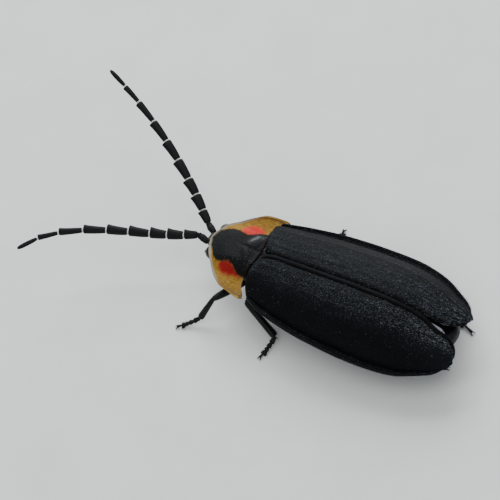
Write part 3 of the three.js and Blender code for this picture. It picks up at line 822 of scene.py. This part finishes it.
def shieldPoint(a, b):
    x = shield["half"] * math.sin((a - 0.5) * math.pi * 0.96) / math.sin(math.pi * 0.48)
    front, hind = shieldEdges(x)
    share = 0.5 - 0.5 * math.cos(math.pi * b) if b < 1 else 1
    share = mix(b, share, 0.45)
    y = mix(front, hind, share)
    side = 1 if x > 0 else 0
    atCorner = step(0.8, 1, abs(x) / shield["half"]) * step(-1.0, 0.1, y)
    cornerOut = shield["cornerOut"][side] * math.copysign(1, x) * atCorner
    nearRim = min(share, 1 - share) * (hind - front)
    lift = 0.045 * (1 - step(0, 0.09, nearRim)) * (1 if share < 0.5 else 0.4)
    z = shieldTop(x, share) + lift - shield["cornerDrop"][side] * atCorner
    return Vector((x + cornerOut + shield["offset"][0], y + shield["offset"][1], z))


markings = {
    # outlines in the level body's own plan, seen from above
    "disc": [
        (0.90, -0.42), (0.88, -0.56), (0.81, -0.67), (0.73, -0.79), (0.67, -0.89), (0.64, -1.04),
        (0.67, -1.28), (0.68, -1.49), (0.62, -1.67), (0.50, -1.80), (0.22, -2.04), (-0.03, -2.15),
        (-0.25, -2.15), (-0.43, -2.02), (-0.55, -1.82), (-0.60, -1.54), (-0.58, -1.25), (-0.55, -1.06),
        (-0.54, -0.85), (-0.59, -0.69), (-0.71, -0.55), (-0.92, -0.53), (-1.00, -0.42), (-0.97, -0.27),
        (-0.98, 0.30), (0.98, 0.30),
    ],
    "spotRight": [
        (-0.63, -1.20), (-0.83, -1.24), (-1.02, -1.26), (-1.14, -1.12), (-1.18, -0.94), (-1.14, -0.77),
        (-1.00, -0.55), (-0.76, -0.45), (-0.61, -0.55), (-0.54, -0.70), (-0.50, -0.87), (-0.53, -1.05),
    ],
    "spotLeft": [
        (0.76, -1.43), (0.66, -1.35), (0.63, -1.12), (0.62, -0.90), (0.69, -0.77), (0.79, -0.65),
        (0.86, -0.51), (0.90, -0.36), (0.94, -0.49), (0.98, -0.74), (1.01, -0.99), (1.01, -1.21),
        (0.90, -1.36),
    ],
    "frontRim": 0.05,
}


# Distance to a closed outline for many places, positive inside it
def reachInside(places, outline):
    px, py = places[:, 0], places[:, 1]
    nearest = np.full(len(places), 1e9)
    inside = np.zeros(len(places), bool)
    for (ax, ay), (bx, by) in zip(outline, outline[1:] + outline[:1]):
        dx, dy = bx - ax, by - ay
        share = np.clip(((px - ax) * dx + (py - ay) * dy) / (dx * dx + dy * dy), 0, 1)
        nearest = np.minimum(nearest, np.hypot(px - ax - share * dx, py - ay - share * dy))
        rises = dy if abs(dy) > 1e-9 else 1e-9
        inside ^= ((ay > py) != (by > py)) & (px < dx * (py - ay) / rises + ax)
    return np.where(inside, nearest, -nearest)


def paintShield(piece):
    places = np.array([vertex.co[:2] for vertex in piece.data.vertices])
    own = places - np.array(shield["offset"])
    edges = np.array([shieldEdges(x) for x in own[:, 0]])
    fromFront, fromHind = own[:, 1] - edges[:, 0], edges[:, 1] - own[:, 1]
    fromSide = (shield["half"] - np.abs(own[:, 0])) * 0.9
    rimReach = np.minimum(np.minimum(fromFront, fromHind), fromSide)
    frontReach = np.where(own[:, 1] < -0.6, np.minimum(fromFront, fromSide), 1.0)
    forward = np.array([1 - step(-1.6, -1.0, y) for y in own[:, 1]])
    disc = reachInside(places, markings["disc"]) + 0.05 * forward
    disc = np.minimum(disc, frontReach - markings["frontRim"])
    spot = np.maximum(reachInside(places, markings["spotRight"]), reachInside(places, markings["spotLeft"]))
    narrow = np.array([1 - step(0.06, 0.17, reach) for reach in rimReach])
    paint(piece, "disc", 0.5 + 2.4 * disc)
    paint(piece, "spot", 0.55 + 2.2 * spot)
    paint(piece, "rim", narrow * (0.45 + 0.55 * forward))
    out, back = (own - np.array(shield["glossCentre"])).T
    (long, wide), (ahead, aside) = shield["glossHalf"], shield["slant"]
    glossAlong, glossAcross = back * aside - out * ahead, back * ahead + out * aside
    paint(piece, "gloss", np.exp(-(glossAlong / long) ** 2 - (glossAcross / wide) ** 2))
    paint(piece, "hindRim", [
        (1 - step(0.0, 0.06, reach)) * (1 - step(0.95, 1.1, abs(x)))
        for reach, x in zip(fromHind, own[:, 0])])
    # Painted light on the right red spot, painted shade on the left one
    paint(piece, "litSpotSide", np.where(places[:, 0] < 0, 1.0, 0.0))


def makeShield():
    say("neck shield")
    piece = bentPlate(
        "neck_shield", "shield", shield["across"], shield["along"], shieldPoint, shield["thickness"])
    paintShield(piece)
    setIn(piece, ["pronotum"], toStance)


shieldHair = {"count": 2600, "length": (0.035, 0.07), "width": 0.0036}


def makeShieldHair():
    say("hairs of the neck shield")
    hairs = []
    for _ in range(shieldHair["count"]):
        a, b = dice.uniform(0.03, 0.97), dice.uniform(0.03, 0.97)
        root = shieldPoint(a, b)
        back = (shieldPoint(a, min(b + 0.02, 1)) - root).normalized()
        away = (shieldPoint(min(a + 0.02, 1), b) - root).normalized()
        normal = away.cross(back).normalized()
        lie = back * dice.uniform(0.4, 1) + away * dice.normal(0, 0.35) + normal * dice.uniform(0.3, 0.9)
        tip = root + lie.normalized() * dice.uniform(*shieldHair["length"])
        hairs.append((root - normal * hairSink, tip, shieldHair["width"], bakeSpot(a, b)))
    coat = hairCoat("neck_shield_hair", hairs, finishes["paleHair"])
    setIn(coat, [], toStance, smooth=False)


# Small plate between the roots of the wing cases

scutellum = {"front": -0.04, "length": 0.52, "half": 0.22, "top": 0.42, "rim": 0.012, "thickness": 0.12}


def makeScutellum():
    say("scutellum")

    def place(a, b):
        half = scutellum["half"] * (1 - 0.96 * b ** 1.5)
        x = (a - 0.5) * 2 * half
        y = scutellum["front"] + scutellum["length"] * b
        rim = scutellum["rim"] * (step(0.72, 0.95, abs(a - 0.5) * 2) + step(0.8, 1, b))
        z = scutellum["top"] + 0.10 * b + rim - 0.03 * bump(a, 0.5, 0.2) * (1 - b)
        return Vector((x, y, z))

    piece = bentPlate("scutellum_plate", "body", 20, 22, place, scutellum["thickness"])
    setIn(piece, ["scutellum"], toStance)


# Folded flight wings, which show between the tips of the wing cases

flightWing = {
    "root": 1.3,
    "tip": 7.95,
    "inner": 0.01,
    "outer": 1.35,
    "thickness": 0.03,
    "below": 0.13,
    # height of the wing cases' seam by the place along it
    "crown": ((1, 2.6, 4.2, 5.7, 6.9, 7.4, 7.9), (0.75, 0.91, 1.05, 1.06, 0.81, 0.6, 0.36)),
    "twinShift": (0.2, -0.1, -0.16),
}


def wingPoint(a, b):
    y = mix(flightWing["root"], flightWing["tip"], b)
    spread = math.sqrt(max(0.0, 1 - (2 * max(0.5, b) - 1) ** 4))
    reach = (0.16 + 0.84 * spread) * (0.7 + 0.3 * step(0, 0.3, b))
    outer = mix(flightWing["inner"], flightWing["outer"], reach)
    inner = flightWing["inner"] + 0.24 * step(7.6, flightWing["tip"], y)
    x = mix(inner, outer, a)
    crown = np.interp(y, *flightWing["crown"])
    drop = 0.6 * (abs(x) / 1.5) ** 2.4
    fold = 0.03 * math.cos(a * 13) + 0.012 * math.sin(b * 40 + a * 6)
    return Vector((x, y, crown - flightWing["below"] - drop + fold * step(0, 0.1, b)))


def veinAt(place):
    lengthwise = bump(((place.x + 0.23) % 0.34) / 0.34, 0.5, 0.09)
    return max(lengthwise, bump(place.y % 1.7, 0.85, 0.04))


def makeFlightWings():
    say("flight wings")
    wing = bentPlate("flight_wing_left_film", "wing", 28, 60, wingPoint, flightWing["thickness"])
    paint(wing, "vein", [veinAt(vertex.co) for vertex in wing.data.vertices])
    twin = copyOf(wing, "flight_wing_right_film")
    moveMesh(twin, mirror @ Matrix.Translation(flightWing["twinShift"]))
    setIn(wing, ["flight_wing_left"], toStance)
    setIn(twin, ["flight_wing_right"], toStance)


# Trunk

# Each section is (y, half width, top, bottom)
trunk = {
    "prothorax_body": [
        (-1.5, 0.42, -0.25, -0.66), (-1.42, 0.58, -0.14, -0.78), (-1.1, 0.72, -0.08, -0.72),
        (-0.7, 0.78, -0.06, -0.66), (-0.3, 0.8, -0.06, -0.66), (-0.12, 0.74, -0.1, -0.62),
        (0.02, 0.6, -0.16, -0.56),
    ],
    "prothorax_keel": [
        (-1.38, 0.06, -0.5, -0.84), (-1.2, 0.13, -0.45, -0.96), (-0.8, 0.15, -0.45, -1.02),
        (-0.4, 0.13, -0.45, -0.96), (-0.18, 0.06, -0.45, -0.84),
    ],
    "thorax_body": [
        (-0.22, 0.6, 0.06, -0.42), (-0.12, 0.92, 0.26, -0.5), (0.06, 1.12, 0.34, -0.56),
        (0.5, 1.3, 0.42, -0.64), (1.2, 1.5, 0.42, -0.68), (1.3, 1.46, 0.4, -0.64),
        (1.4, 1.52, 0.42, -0.74), (2.2, 1.55, 0.4, -0.8), (2.55, 1.45, 0.3, -0.74),
        (2.66, 1.3, 0.2, -0.66),
    ],
    "thorax_keel": [
        (0.1, 0.08, -0.5, -0.84), (0.4, 0.2, -0.5, -1.02), (1.2, 0.26, -0.5, -1.14),
        (1.3, 0.22, -0.5, -1.08), (1.5, 0.3, -0.5, -1.16), (2.3, 0.24, -0.5, -1.08),
        (2.55, 0.1, -0.5, -0.9),
    ],
}


def makeTrunkPart(name, bodySides, bodySquareness, keelSides):
    say(name)
    body = softTrunk(f"{name}_body", trunk[f"{name}_body"], bodySides, bodySquareness)
    keel = softTrunk(f"{name}_keel", trunk[f"{name}_keel"], keelSides, 0.8)
    setIn(joinAll([body, keel], f"{name}_body"), [name], toStance)


abdomen = {
    "front": 2.6,
    "rear": 7.77,
    "segments": 7,
    "half": 1.5,
    "stepOut": 0.045,
    "lean": 0.17,
    "tipLift": 0.10,
}


def abdomenOutline(y):
    share = (y - abdomen["front"]) / (abdomen["rear"] - abdomen["front"])
    half = abdomen["half"] * (0.86 + 0.14 * step(0, 0.3, share)) * (1 - 0.70 * step(0.42, 1.02, share))
    return half, -0.1 - 0.02 * step(0.4, 0.95, share), -1.14 + 0.46 * step(0.5, 1, share)


def makeAbdomen():
    say("abdomen")
    sections = []
    out = abdomen["stepOut"]
    length = (abdomen["rear"] - abdomen["front"]) / abdomen["segments"]
    for segment in range(abdomen["segments"]):
        start = abdomen["front"] + segment * length
        end = start + length
        half, top, bottom = abdomenOutline(start)
        sections.append((start + 0.005, half - out, top - out, bottom + out))
        for share in (0.12, 0.4, 0.75, 0.95):
            y = mix(start, end, share)
            half, top, bottom = abdomenOutline(y)
            swell = out * step(0, 0.9, share)
            sections.append((y, half - out + swell, top - out + swell, bottom + out - swell))
        half, top, bottom = abdomenOutline(end)
        sections.append((end - 0.004, half - out * 0.2, top - out * 0.3, bottom + out * 0.3))
    sections.append((abdomen["rear"] + 0.08, 0.34, -0.19, -0.62))
    sections.append((abdomen["rear"] + 0.13, 0.16, -0.30, -0.52))
    piece = softTrunk("abdomen_rings", sections, 40, 0.74)
    for vertex in piece.data.vertices:
        vertex.co.x -= abdomen["lean"] * step(6.4, abdomen["rear"], vertex.co.y)
        vertex.co.z += abdomen["tipLift"] * step(6.8, abdomen["rear"], vertex.co.y)
    setIn(piece, ["abdomen"], toStance)


# Head with its mouthparts

head = {
    "centre": (-0.19, -2.06, -0.30),
    "half": 0.48,
    "long": 0.44,
    "high": 0.32,
    "eyeOut": 0.50,
    "eyeUp": 0.04,
    "eyeRadii": (0.25, 0.26, 0.27),
    "mouth": (0.13, -0.42, -0.20),
    # form, its knots from the mouth (out, along, up), widths, and depth for a width of 1
    "mouthparts": (
        ("jaw", ((0, 0, 0), (-0.05, -0.24, -0.06)), (0.11,), 0.08 / 0.11),
        ("palp", ((0.07, 0.06, -0.07), (0.17, -0.06, -0.13), (0.21, -0.16, -0.2), (0.19, -0.24, -0.3)),
         (0.12, 0.13, 0.15), 0.8),
        ("palp", ((-0.06, 0.08, -0.12), (-0.04, -0.02, -0.2), (-0.05, -0.08, -0.26)), (0.09, 0.09), 1),
    ),
    "forms": {
        "jaw": [(0, 0, 0.9, 0.9), (0.25, 0.12, 1.0, 0.9), (0.6, 0.14, 0.7, 0.7), (0.9, -0.1, 0.34, 0.4),
                (1.0, -0.25, 0.08, 0.1)],
        "palp": [(0, 0, 0.55, 0.55), (0.1, 0, 0.8, 0.8), (0.45, 0, 1.0, 1.0), (0.8, 0, 0.95, 0.95),
                 (1.0, 0, 0.5, 0.5)],
    },
}


def skullPoint(x, y, z):
    cx, cy, cz = head["centre"]
    front = max(0.0, -y)
    brow = 0.16 * bump(abs(x), 0.42, 0.2) * step(0.2, 0.8, front) * step(-0.2, 0.4, z)
    hollow = 0.14 * bump(x, 0, 0.25) * step(0.5, 1, front) * step(-0.1, 0.5, z)
    muzzle = 0.34 * front ** 2 * (1 - step(-0.1, 0.6, z)) * (1 - 0.4 * abs(x))
    return (
        cx + x * head["half"] * (1 - 0.18 * front),
        cy + y * head["long"] - muzzle * 0.5 - brow * 0.5 + hollow * 0.4,
        cz + z * head["high"] + brow * 0.3,
    )


def makeHead():
    say("head")
    cx, cy, cz = head["centre"]
    parts = [ball("head_capsule", "body", 48, 32, skullPoint)]
    forms = {name: drawnOut(name, steps, sides=10) for name, steps in head["forms"].items()}
    for side in (-1, 1):
        out, along, up = head["mouth"]
        root = Vector((cx + side * out, cy + along, cz + up))
        for form, knots, widths, deep in head["mouthparts"]:
            points = [root + Vector((side * out, along, up)) for out, along, up in knots]
            for start, end, width in zip(points, points[1:], widths):
                parts.append(setAlong(forms[form], form, start, end, (side, 0, 0), width, width * deep))
    drop(*forms.values())
    setIn(joinAll(parts, "head_capsule"), ["head"], toStance)
    rx, ry, rz = head["eyeRadii"]
    for name, side in (("left", 1), ("right", -1)):
        eyeX, eyeY, eyeZ = cx + side * head["eyeOut"], cy - 0.06, cz + head["eyeUp"]
        eye = ball(f"eye_{name}_ball", "eye", 40, 24,
                   lambda x, y, z: (eyeX + x * rx, eyeY + y * ry, eyeZ + z * rz))
        setIn(eye, [f"eye_{name}"], toStance)


# Feelers

feelers = {
    "lengths": (0.38, 0.11, 0.53, 0.64, 0.66, 0.82, 0.84, 0.89, 0.92, 0.79, 0.85),
    "widths": (0.29, 0.23, 0.37, 0.42, 0.42, 0.40, 0.375, 0.335, 0.28, 0.22, 0.185),
    "flatness": 0.46,
    "jointLength": 0.042,
    "jointWidth": 0.58,
    "neckWidth": 0.86,
    "flatFacing": (0.353, 0.516, 0.781),
    "left": {
        "base": (0.0, -2.51, 1.46),
        "scape": (-11.3, 12.3),
        "out": (26.4, -35.4, 27.0, 43.0),
        "up": (4.1, 4.2),
    },
    "right": {
        "base": (-0.42, -2.51, 1.46),
        "scape": (30.9, 5.7),
        "out": (40.4, -14.1, -10.3, 1.5),
        "up": (22.4, 5.0),
    },
}


def feelerKnots(side, pose):
    knots = [Vector(pose["base"])]
    for k, length in enumerate(feelers["lengths"]):
        share = max(0, k - 2) / (len(feelers["lengths"]) - 3)
        if k < 2:
            out, up = pose["scape"]
        else:
            out = sum(c * share ** p for p, c in enumerate(pose["out"]))
            up = sum(c * share ** p for p, c in enumerate(pose["up"]))
        out, up = math.radians(out), math.radians(up)
        aim = Vector((side * math.sin(out) * math.cos(up), -math.cos(out) * math.cos(up), math.sin(up)))
        knots.append(knots[-1] + aim * length)
    return knots


feelerForms = {
    "scape": [(0, 0, 0.66, 0.7), (0.06, 0, 0.74, 0.82), (0.25, 0, 0.84, 0.95), (0.6, 0.02, 0.96, 1.1),
              (0.88, 0.03, 1.0, 1.12), (1.0, 0.02, 0.78, 0.88)],
    "toothed": [(0, 0, 0.60, 0.70), (0.03, 0, 0.72, 0.84), (0.12, 0.0, 0.79, 0.90), (0.35, 0.01, 0.86, 0.96),
                (0.62, 0.03, 0.93, 1.0), (0.85, 0.075, 1.0, 1.0), (0.94, 0.10, 1.06, 0.94),
                (0.985, 0.10, 1.0, 0.82), (1.0, 0.05, 0.74, 0.62)],
    "last": [(0, 0, 0.5, 0.6), (0.03, 0, 0.72, 0.8), (0.2, 0, 0.92, 1.0), (0.6, 0, 1.0, 1.0),
             (0.88, 0, 0.86, 0.85), (0.97, 0, 0.5, 0.5), (1.0, 0, 0.2, 0.2)],
    "neck": [(0, 0, 0.92, 0.92), (0.2, 0, 1, 1), (0.8, 0, 1, 1), (1, 0, 0.92, 0.92)],
}


def makeFeelers():
    say("feelers")
    forms = {name: drawnOut(name, steps, "feeler") for name, steps in feelerForms.items()}
    forms["ring"] = drawnOut("ring", feelerForms["neck"], "joint")
    for name, side in (("left", 1), ("right", -1)):
        knots = feelerKnots(side, feelers[name])
        parts = []
        for k, width in enumerate(feelers["widths"]):
            start, end = knots[k], knots[k + 1]
            aim = (end - start).normalized()
            inner = Vector(feelers["flatFacing"]).cross(aim)
            if inner.x * side > 0:
                inner = -inner
            form = forms["scape" if k < 2 else "last" if k == 10 else "toothed"]
            gap = feelers["jointLength"] if k > 1 else 0.006
            deep = width * mix(feelers["flatness"] + 0.1, 0.8, k / 10) if k > 1 else width * 0.85
            parts.append(setAlong(form, "length", start + aim * gap, end, inner, width, deep))
            if k < 10:
                joint, wide = ("neck", feelers["neckWidth"]) if k < 2 else ("ring", feelers["jointWidth"])
                nextAim = (knots[k + 2] - end).normalized()
                parts.append(setAlong(
                    forms[joint], "joint", end - aim * 0.012,
                    end + nextAim * (feelers["jointLength"] + 0.012), inner, width * wide, deep * 0.66))
        setIn(joinAll(parts, f"feeler_{name}"), [f"antenna_{name}"], footprint)
    drop(*forms.values())


# Legs, in the standing frame: hip, knee, ankle and toe

legs = {
    "front_left": ((0.5, -0.6, 0.78), (1.81, -1.25, 1.04), (2.38, -1.73, 0.33), (2.92, -2.52, 0.07)),
    "front_right": ((-0.5, -0.6, 0.78), (-1.72, -1.02, 1.0), (-1.95, -1.62, 0.33), (-1.85, -2.32, 0.07)),
    "middle_left": ((0.6, 0.72, 0.62), (1.49, 0.02, 1.08), (1.98, 1.35, 0.33), (2.84, 1.12, 0.07)),
    "middle_right": ((-0.6, 0.72, 0.62), (-1.5, 0.08, 1.04), (-2.2, 1.32, 0.33), (-2.97, 1.15, 0.07)),
    "hind_left": ((0.62, 2.1, 0.56), (1.78, 3.6, 0.5), (1.66, 5.9, 0.3), (0.62, 7.72, 0.07)),
    "hind_right": ((-0.62, 2.1, 0.56), (-1.78, 3.6, 0.5), (-1.7, 5.9, 0.3), (-0.98, 7.8, 0.07)),
}
legSizes = {
    "coxa": {"front": 0.42, "middle": 0.44, "hind": 0.46},
    "femur": (0.35, 0.32),
    "tibia": (0.285, 0.25),
    "stout": {"front": 0.95, "middle": 1.15, "hind": 1.0},
    "tarsus": (0.21, 0.16),
    "claw": 0.125,
    "shares": (0.0, 0.32, 0.52, 0.66, 0.80, 1.0),
}


legForms = {
    "coxa": [(0, 0, 0.7, 0.7), (0.15, 0, 1.0, 1.0), (0.5, 0, 1.1, 1.05), (0.85, 0, 0.8, 0.8),
             (1, 0, 0.4, 0.4)],
    "femur": [(0, 0, 0.45, 0.5), (0.05, 0, 0.62, 0.7), (0.12, 0.01, 0.74, 0.86), (0.4, 0.03, 1.0, 1.0),
              (0.7, 0.02, 0.95, 0.95), (0.92, 0, 0.72, 0.78), (1.0, 0, 0.45, 0.5)],
    "tibia": [(0, 0, 0.5, 0.55), (0.04, 0, 0.66, 0.74), (0.12, 0, 0.74, 0.84), (0.5, 0.02, 0.88, 0.94),
              (0.86, 0, 1.06, 1.04), (0.96, 0, 1.08, 1.0), (1.0, 0, 0.7, 0.7)],
    "tarsomere": [(0, 0, 0.5, 0.6), (0.08, 0, 0.66, 0.8), (0.5, 0, 0.92, 1.0), (0.86, 0, 1.14, 1.05),
                  (0.97, 0, 1.05, 0.8), (1.0, 0, 0.6, 0.5)],
    "lobe": [(0, 0, 0.6, 0.7), (0.2, 0.1, 0.9, 0.8), (0.6, 0.3, 0.95, 0.55), (0.9, 0.42, 0.8, 0.4),
             (1.0, 0.44, 0.4, 0.2)],
    "lastJoint": [(0, 0, 0.5, 0.5), (0.1, 0, 0.66, 0.66), (0.6, 0, 0.86, 0.86), (0.93, 0, 1.1, 1.1),
                  (1.0, 0, 0.7, 0.7)],
    "claw": [(0, 0, 0.8, 0.9), (0.3, 0.25, 0.7, 0.8), (0.6, 0.3, 0.45, 0.55), (0.85, 0.1, 0.25, 0.3),
             (1.0, -0.2, 0.06, 0.06)],
    "spur": [(0, 0, 1, 1), (0.6, 0, 0.6, 0.6), (1, 0, 0.05, 0.05)],
}


def bezier(a, b, c, t):
    return a * (1 - t) ** 2 + b * 2 * t * (1 - t) + c * t ** 2


def makeLegs():
    say("legs")
    forms = {}
    for name, steps in legForms.items():
        small = name in ("claw", "spur")
        forms[name] = drawnOut(name, steps, "claw" if small else "body", sides=10, levels=1 if small else 2)
    up = Vector((0, 0, 1))
    for name, joints in legs.items():
        pair, sideName = name.split("_")
        hip, knee, ankle, toe = (Vector(point) for point in joints)
        parts = []

        def addLength(form, start, end, side, wide, deep):
            parts.append(setAlong(forms[form], form, start, end, side, wide, deep))

        way = 1 if sideName == "left" else -1
        wide = legSizes["coxa"][pair]
        topOfCoxa = hip + Vector((-way * 0.12, 0.02, 0.3))
        addLength("coxa", topOfCoxa, hip + Vector((way * 0.12, 0, -0.12)), (0, 1, 0), wide, wide)
        across = (knee - hip).cross(up)
        thigh = (knee - hip).normalized()
        deep, wide = legSizes["femur"]
        addLength("femur", hip + thigh * 0.06, knee + thigh * 0.05, across, wide, deep)
        shin = (ankle - knee).normalized()
        wide, deep = (size * legSizes["stout"][pair] for size in legSizes["tibia"])
        addLength("tibia", knee - shin * 0.03, ankle, across, wide, deep)
        middle = ankle.lerp(toe, 0.42)
        middle.z = 0.115
        flat = (toe - ankle)
        flat.z = 0
        flat.normalize()
        sideways = flat.cross(up)
        for k in range(5):
            start, end = (bezier(ankle, middle, toe, share) for share in legSizes["shares"][k:k + 2])
            width = mix(*legSizes["tarsus"], k / 4)
            if k == 3:
                tip = end + flat * 0.05
                tip.z = 0.05
                for half in (-1, 1):
                    addLength("lobe", start, tip, sideways * half, width * 1.05, width * 0.75)
            form, size = ("lastJoint", width * 0.74) if k == 4 else ("tarsomere", width)
            addLength(form, start, end, sideways, size, size * 0.86)
        for half in (-1, 1):
            root = toe - flat * 0.02 + sideways * half * 0.02
            tip = toe + flat * legSizes["claw"] * 0.8 + sideways * half * legSizes["claw"] * 0.5
            tip.z = 0.012
            addLength("claw", root, tip, sideways * half, 0.075, 0.075)
            root = ankle - shin * 0.03 + sideways * half * 0.07
            addLength("spur", root, root + shin * 0.13 + sideways * half * 0.03, sideways, 0.035, 0.035)
        nodes = [f"leg_{sideName}_{pair}_{length}" for length in ("coxa", "femur", "tibia", "tarsus")]
        setIn(joinAll(parts, f"leg_{sideName}_{pair}"), nodes, footprint)
    drop(*forms.values())


# Camera, floor and light

def makeStage():
    say("camera, floor and light")
    turn = Matrix.Rotation(-stance["headUp"], 3, "X")
    right = (turn @ Vector(cameraLook["right"])).normalized()
    up = turn @ Vector(cameraLook["up"])
    towards = right.cross(up).normalized()
    up = towards.cross(right)
    zero = Vector((shiftX, shiftY, stance["rideHeight"]))
    half = cameraLook["picture"] / 2
    px, py = ((value - half) / cameraLook["pixelsPerMm"] for value in cameraLook["bodyZeroPixel"])
    target = zero - right * px + up * py
    place = (target + towards * cameraLook["distance"]) * stance["metre"]
    matrix = Matrix((right, up, towards)).transposed().to_4x4()
    bpy.ops.object.camera_add()
    camera = bpy.context.object
    camera.name = "photoCamera"
    camera.matrix_world = Matrix.Translation(place) @ matrix
    focal = cameraLook["pixelsPerMm"] * cameraLook["distance"]
    camera.data.sensor_width = cameraLook["sensor"]
    camera.data.lens = focal / cameraLook["picture"] * cameraLook["sensor"]
    camera.data.clip_start = 0.002
    camera.data.clip_end = 10
    bpy.context.scene.camera = camera

    clearSelection()
    bpy.ops.mesh.primitive_plane_add(size=1.2)
    floor = bpy.context.object
    floor.name = "pale_floor"
    floor.data.materials.append(finishes["floor"])

    lamps = {
        # name: (direction it comes from, distance, size, watts, colour)
        "skyLight": ((-0.66, -0.46, 0.58), 0.16, 0.13, 0.34, (0.93, 0.97, 1.0)),
        "topLight": ((0.10, 0.25, 1.0), 0.18, 0.14, 0.10, (1.0, 0.99, 0.97)),
        "fillLight": ((0.8, 0.3, 0.55), 0.16, 0.10, 0.03, (1.0, 0.98, 0.95)),
    }
    aim = Vector((shiftX, shiftY + 1.5, 1.0)) * stance["metre"]
    for name, (way, distance, size, watts, colour) in lamps.items():
        bpy.ops.object.light_add(type="AREA")
        lamp = bpy.context.object
        lamp.name = name
        way = Vector(way).normalized()
        lamp.location = aim + way * distance
        lamp.rotation_euler = way.to_track_quat("Z", "Y").to_euler()
        lamp.data.size = size
        lamp.data.energy = watts
        lamp.data.color = colour
    world = bpy.data.worlds.new("softRoom")
    world.use_nodes = True
    background = world.node_tree.nodes["Background"]
    background.inputs["Color"].default_value = (0.80, 0.86, 0.90, 1)
    background.inputs["Strength"].default_value = 0.55
    bpy.context.scene.world = world


makeStage()
makeWingCases()
makeShield()
makeScutellum()
makeFlightWings()
makeTrunkPart("prothorax", 32, 0.75, 20)
makeTrunkPart("thorax", 40, 0.72, 24)
makeAbdomen()
makeHead()
makeFeelers()
makeLegs()
makeCaseHair()
makeShieldHair()

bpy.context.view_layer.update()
say("finished")
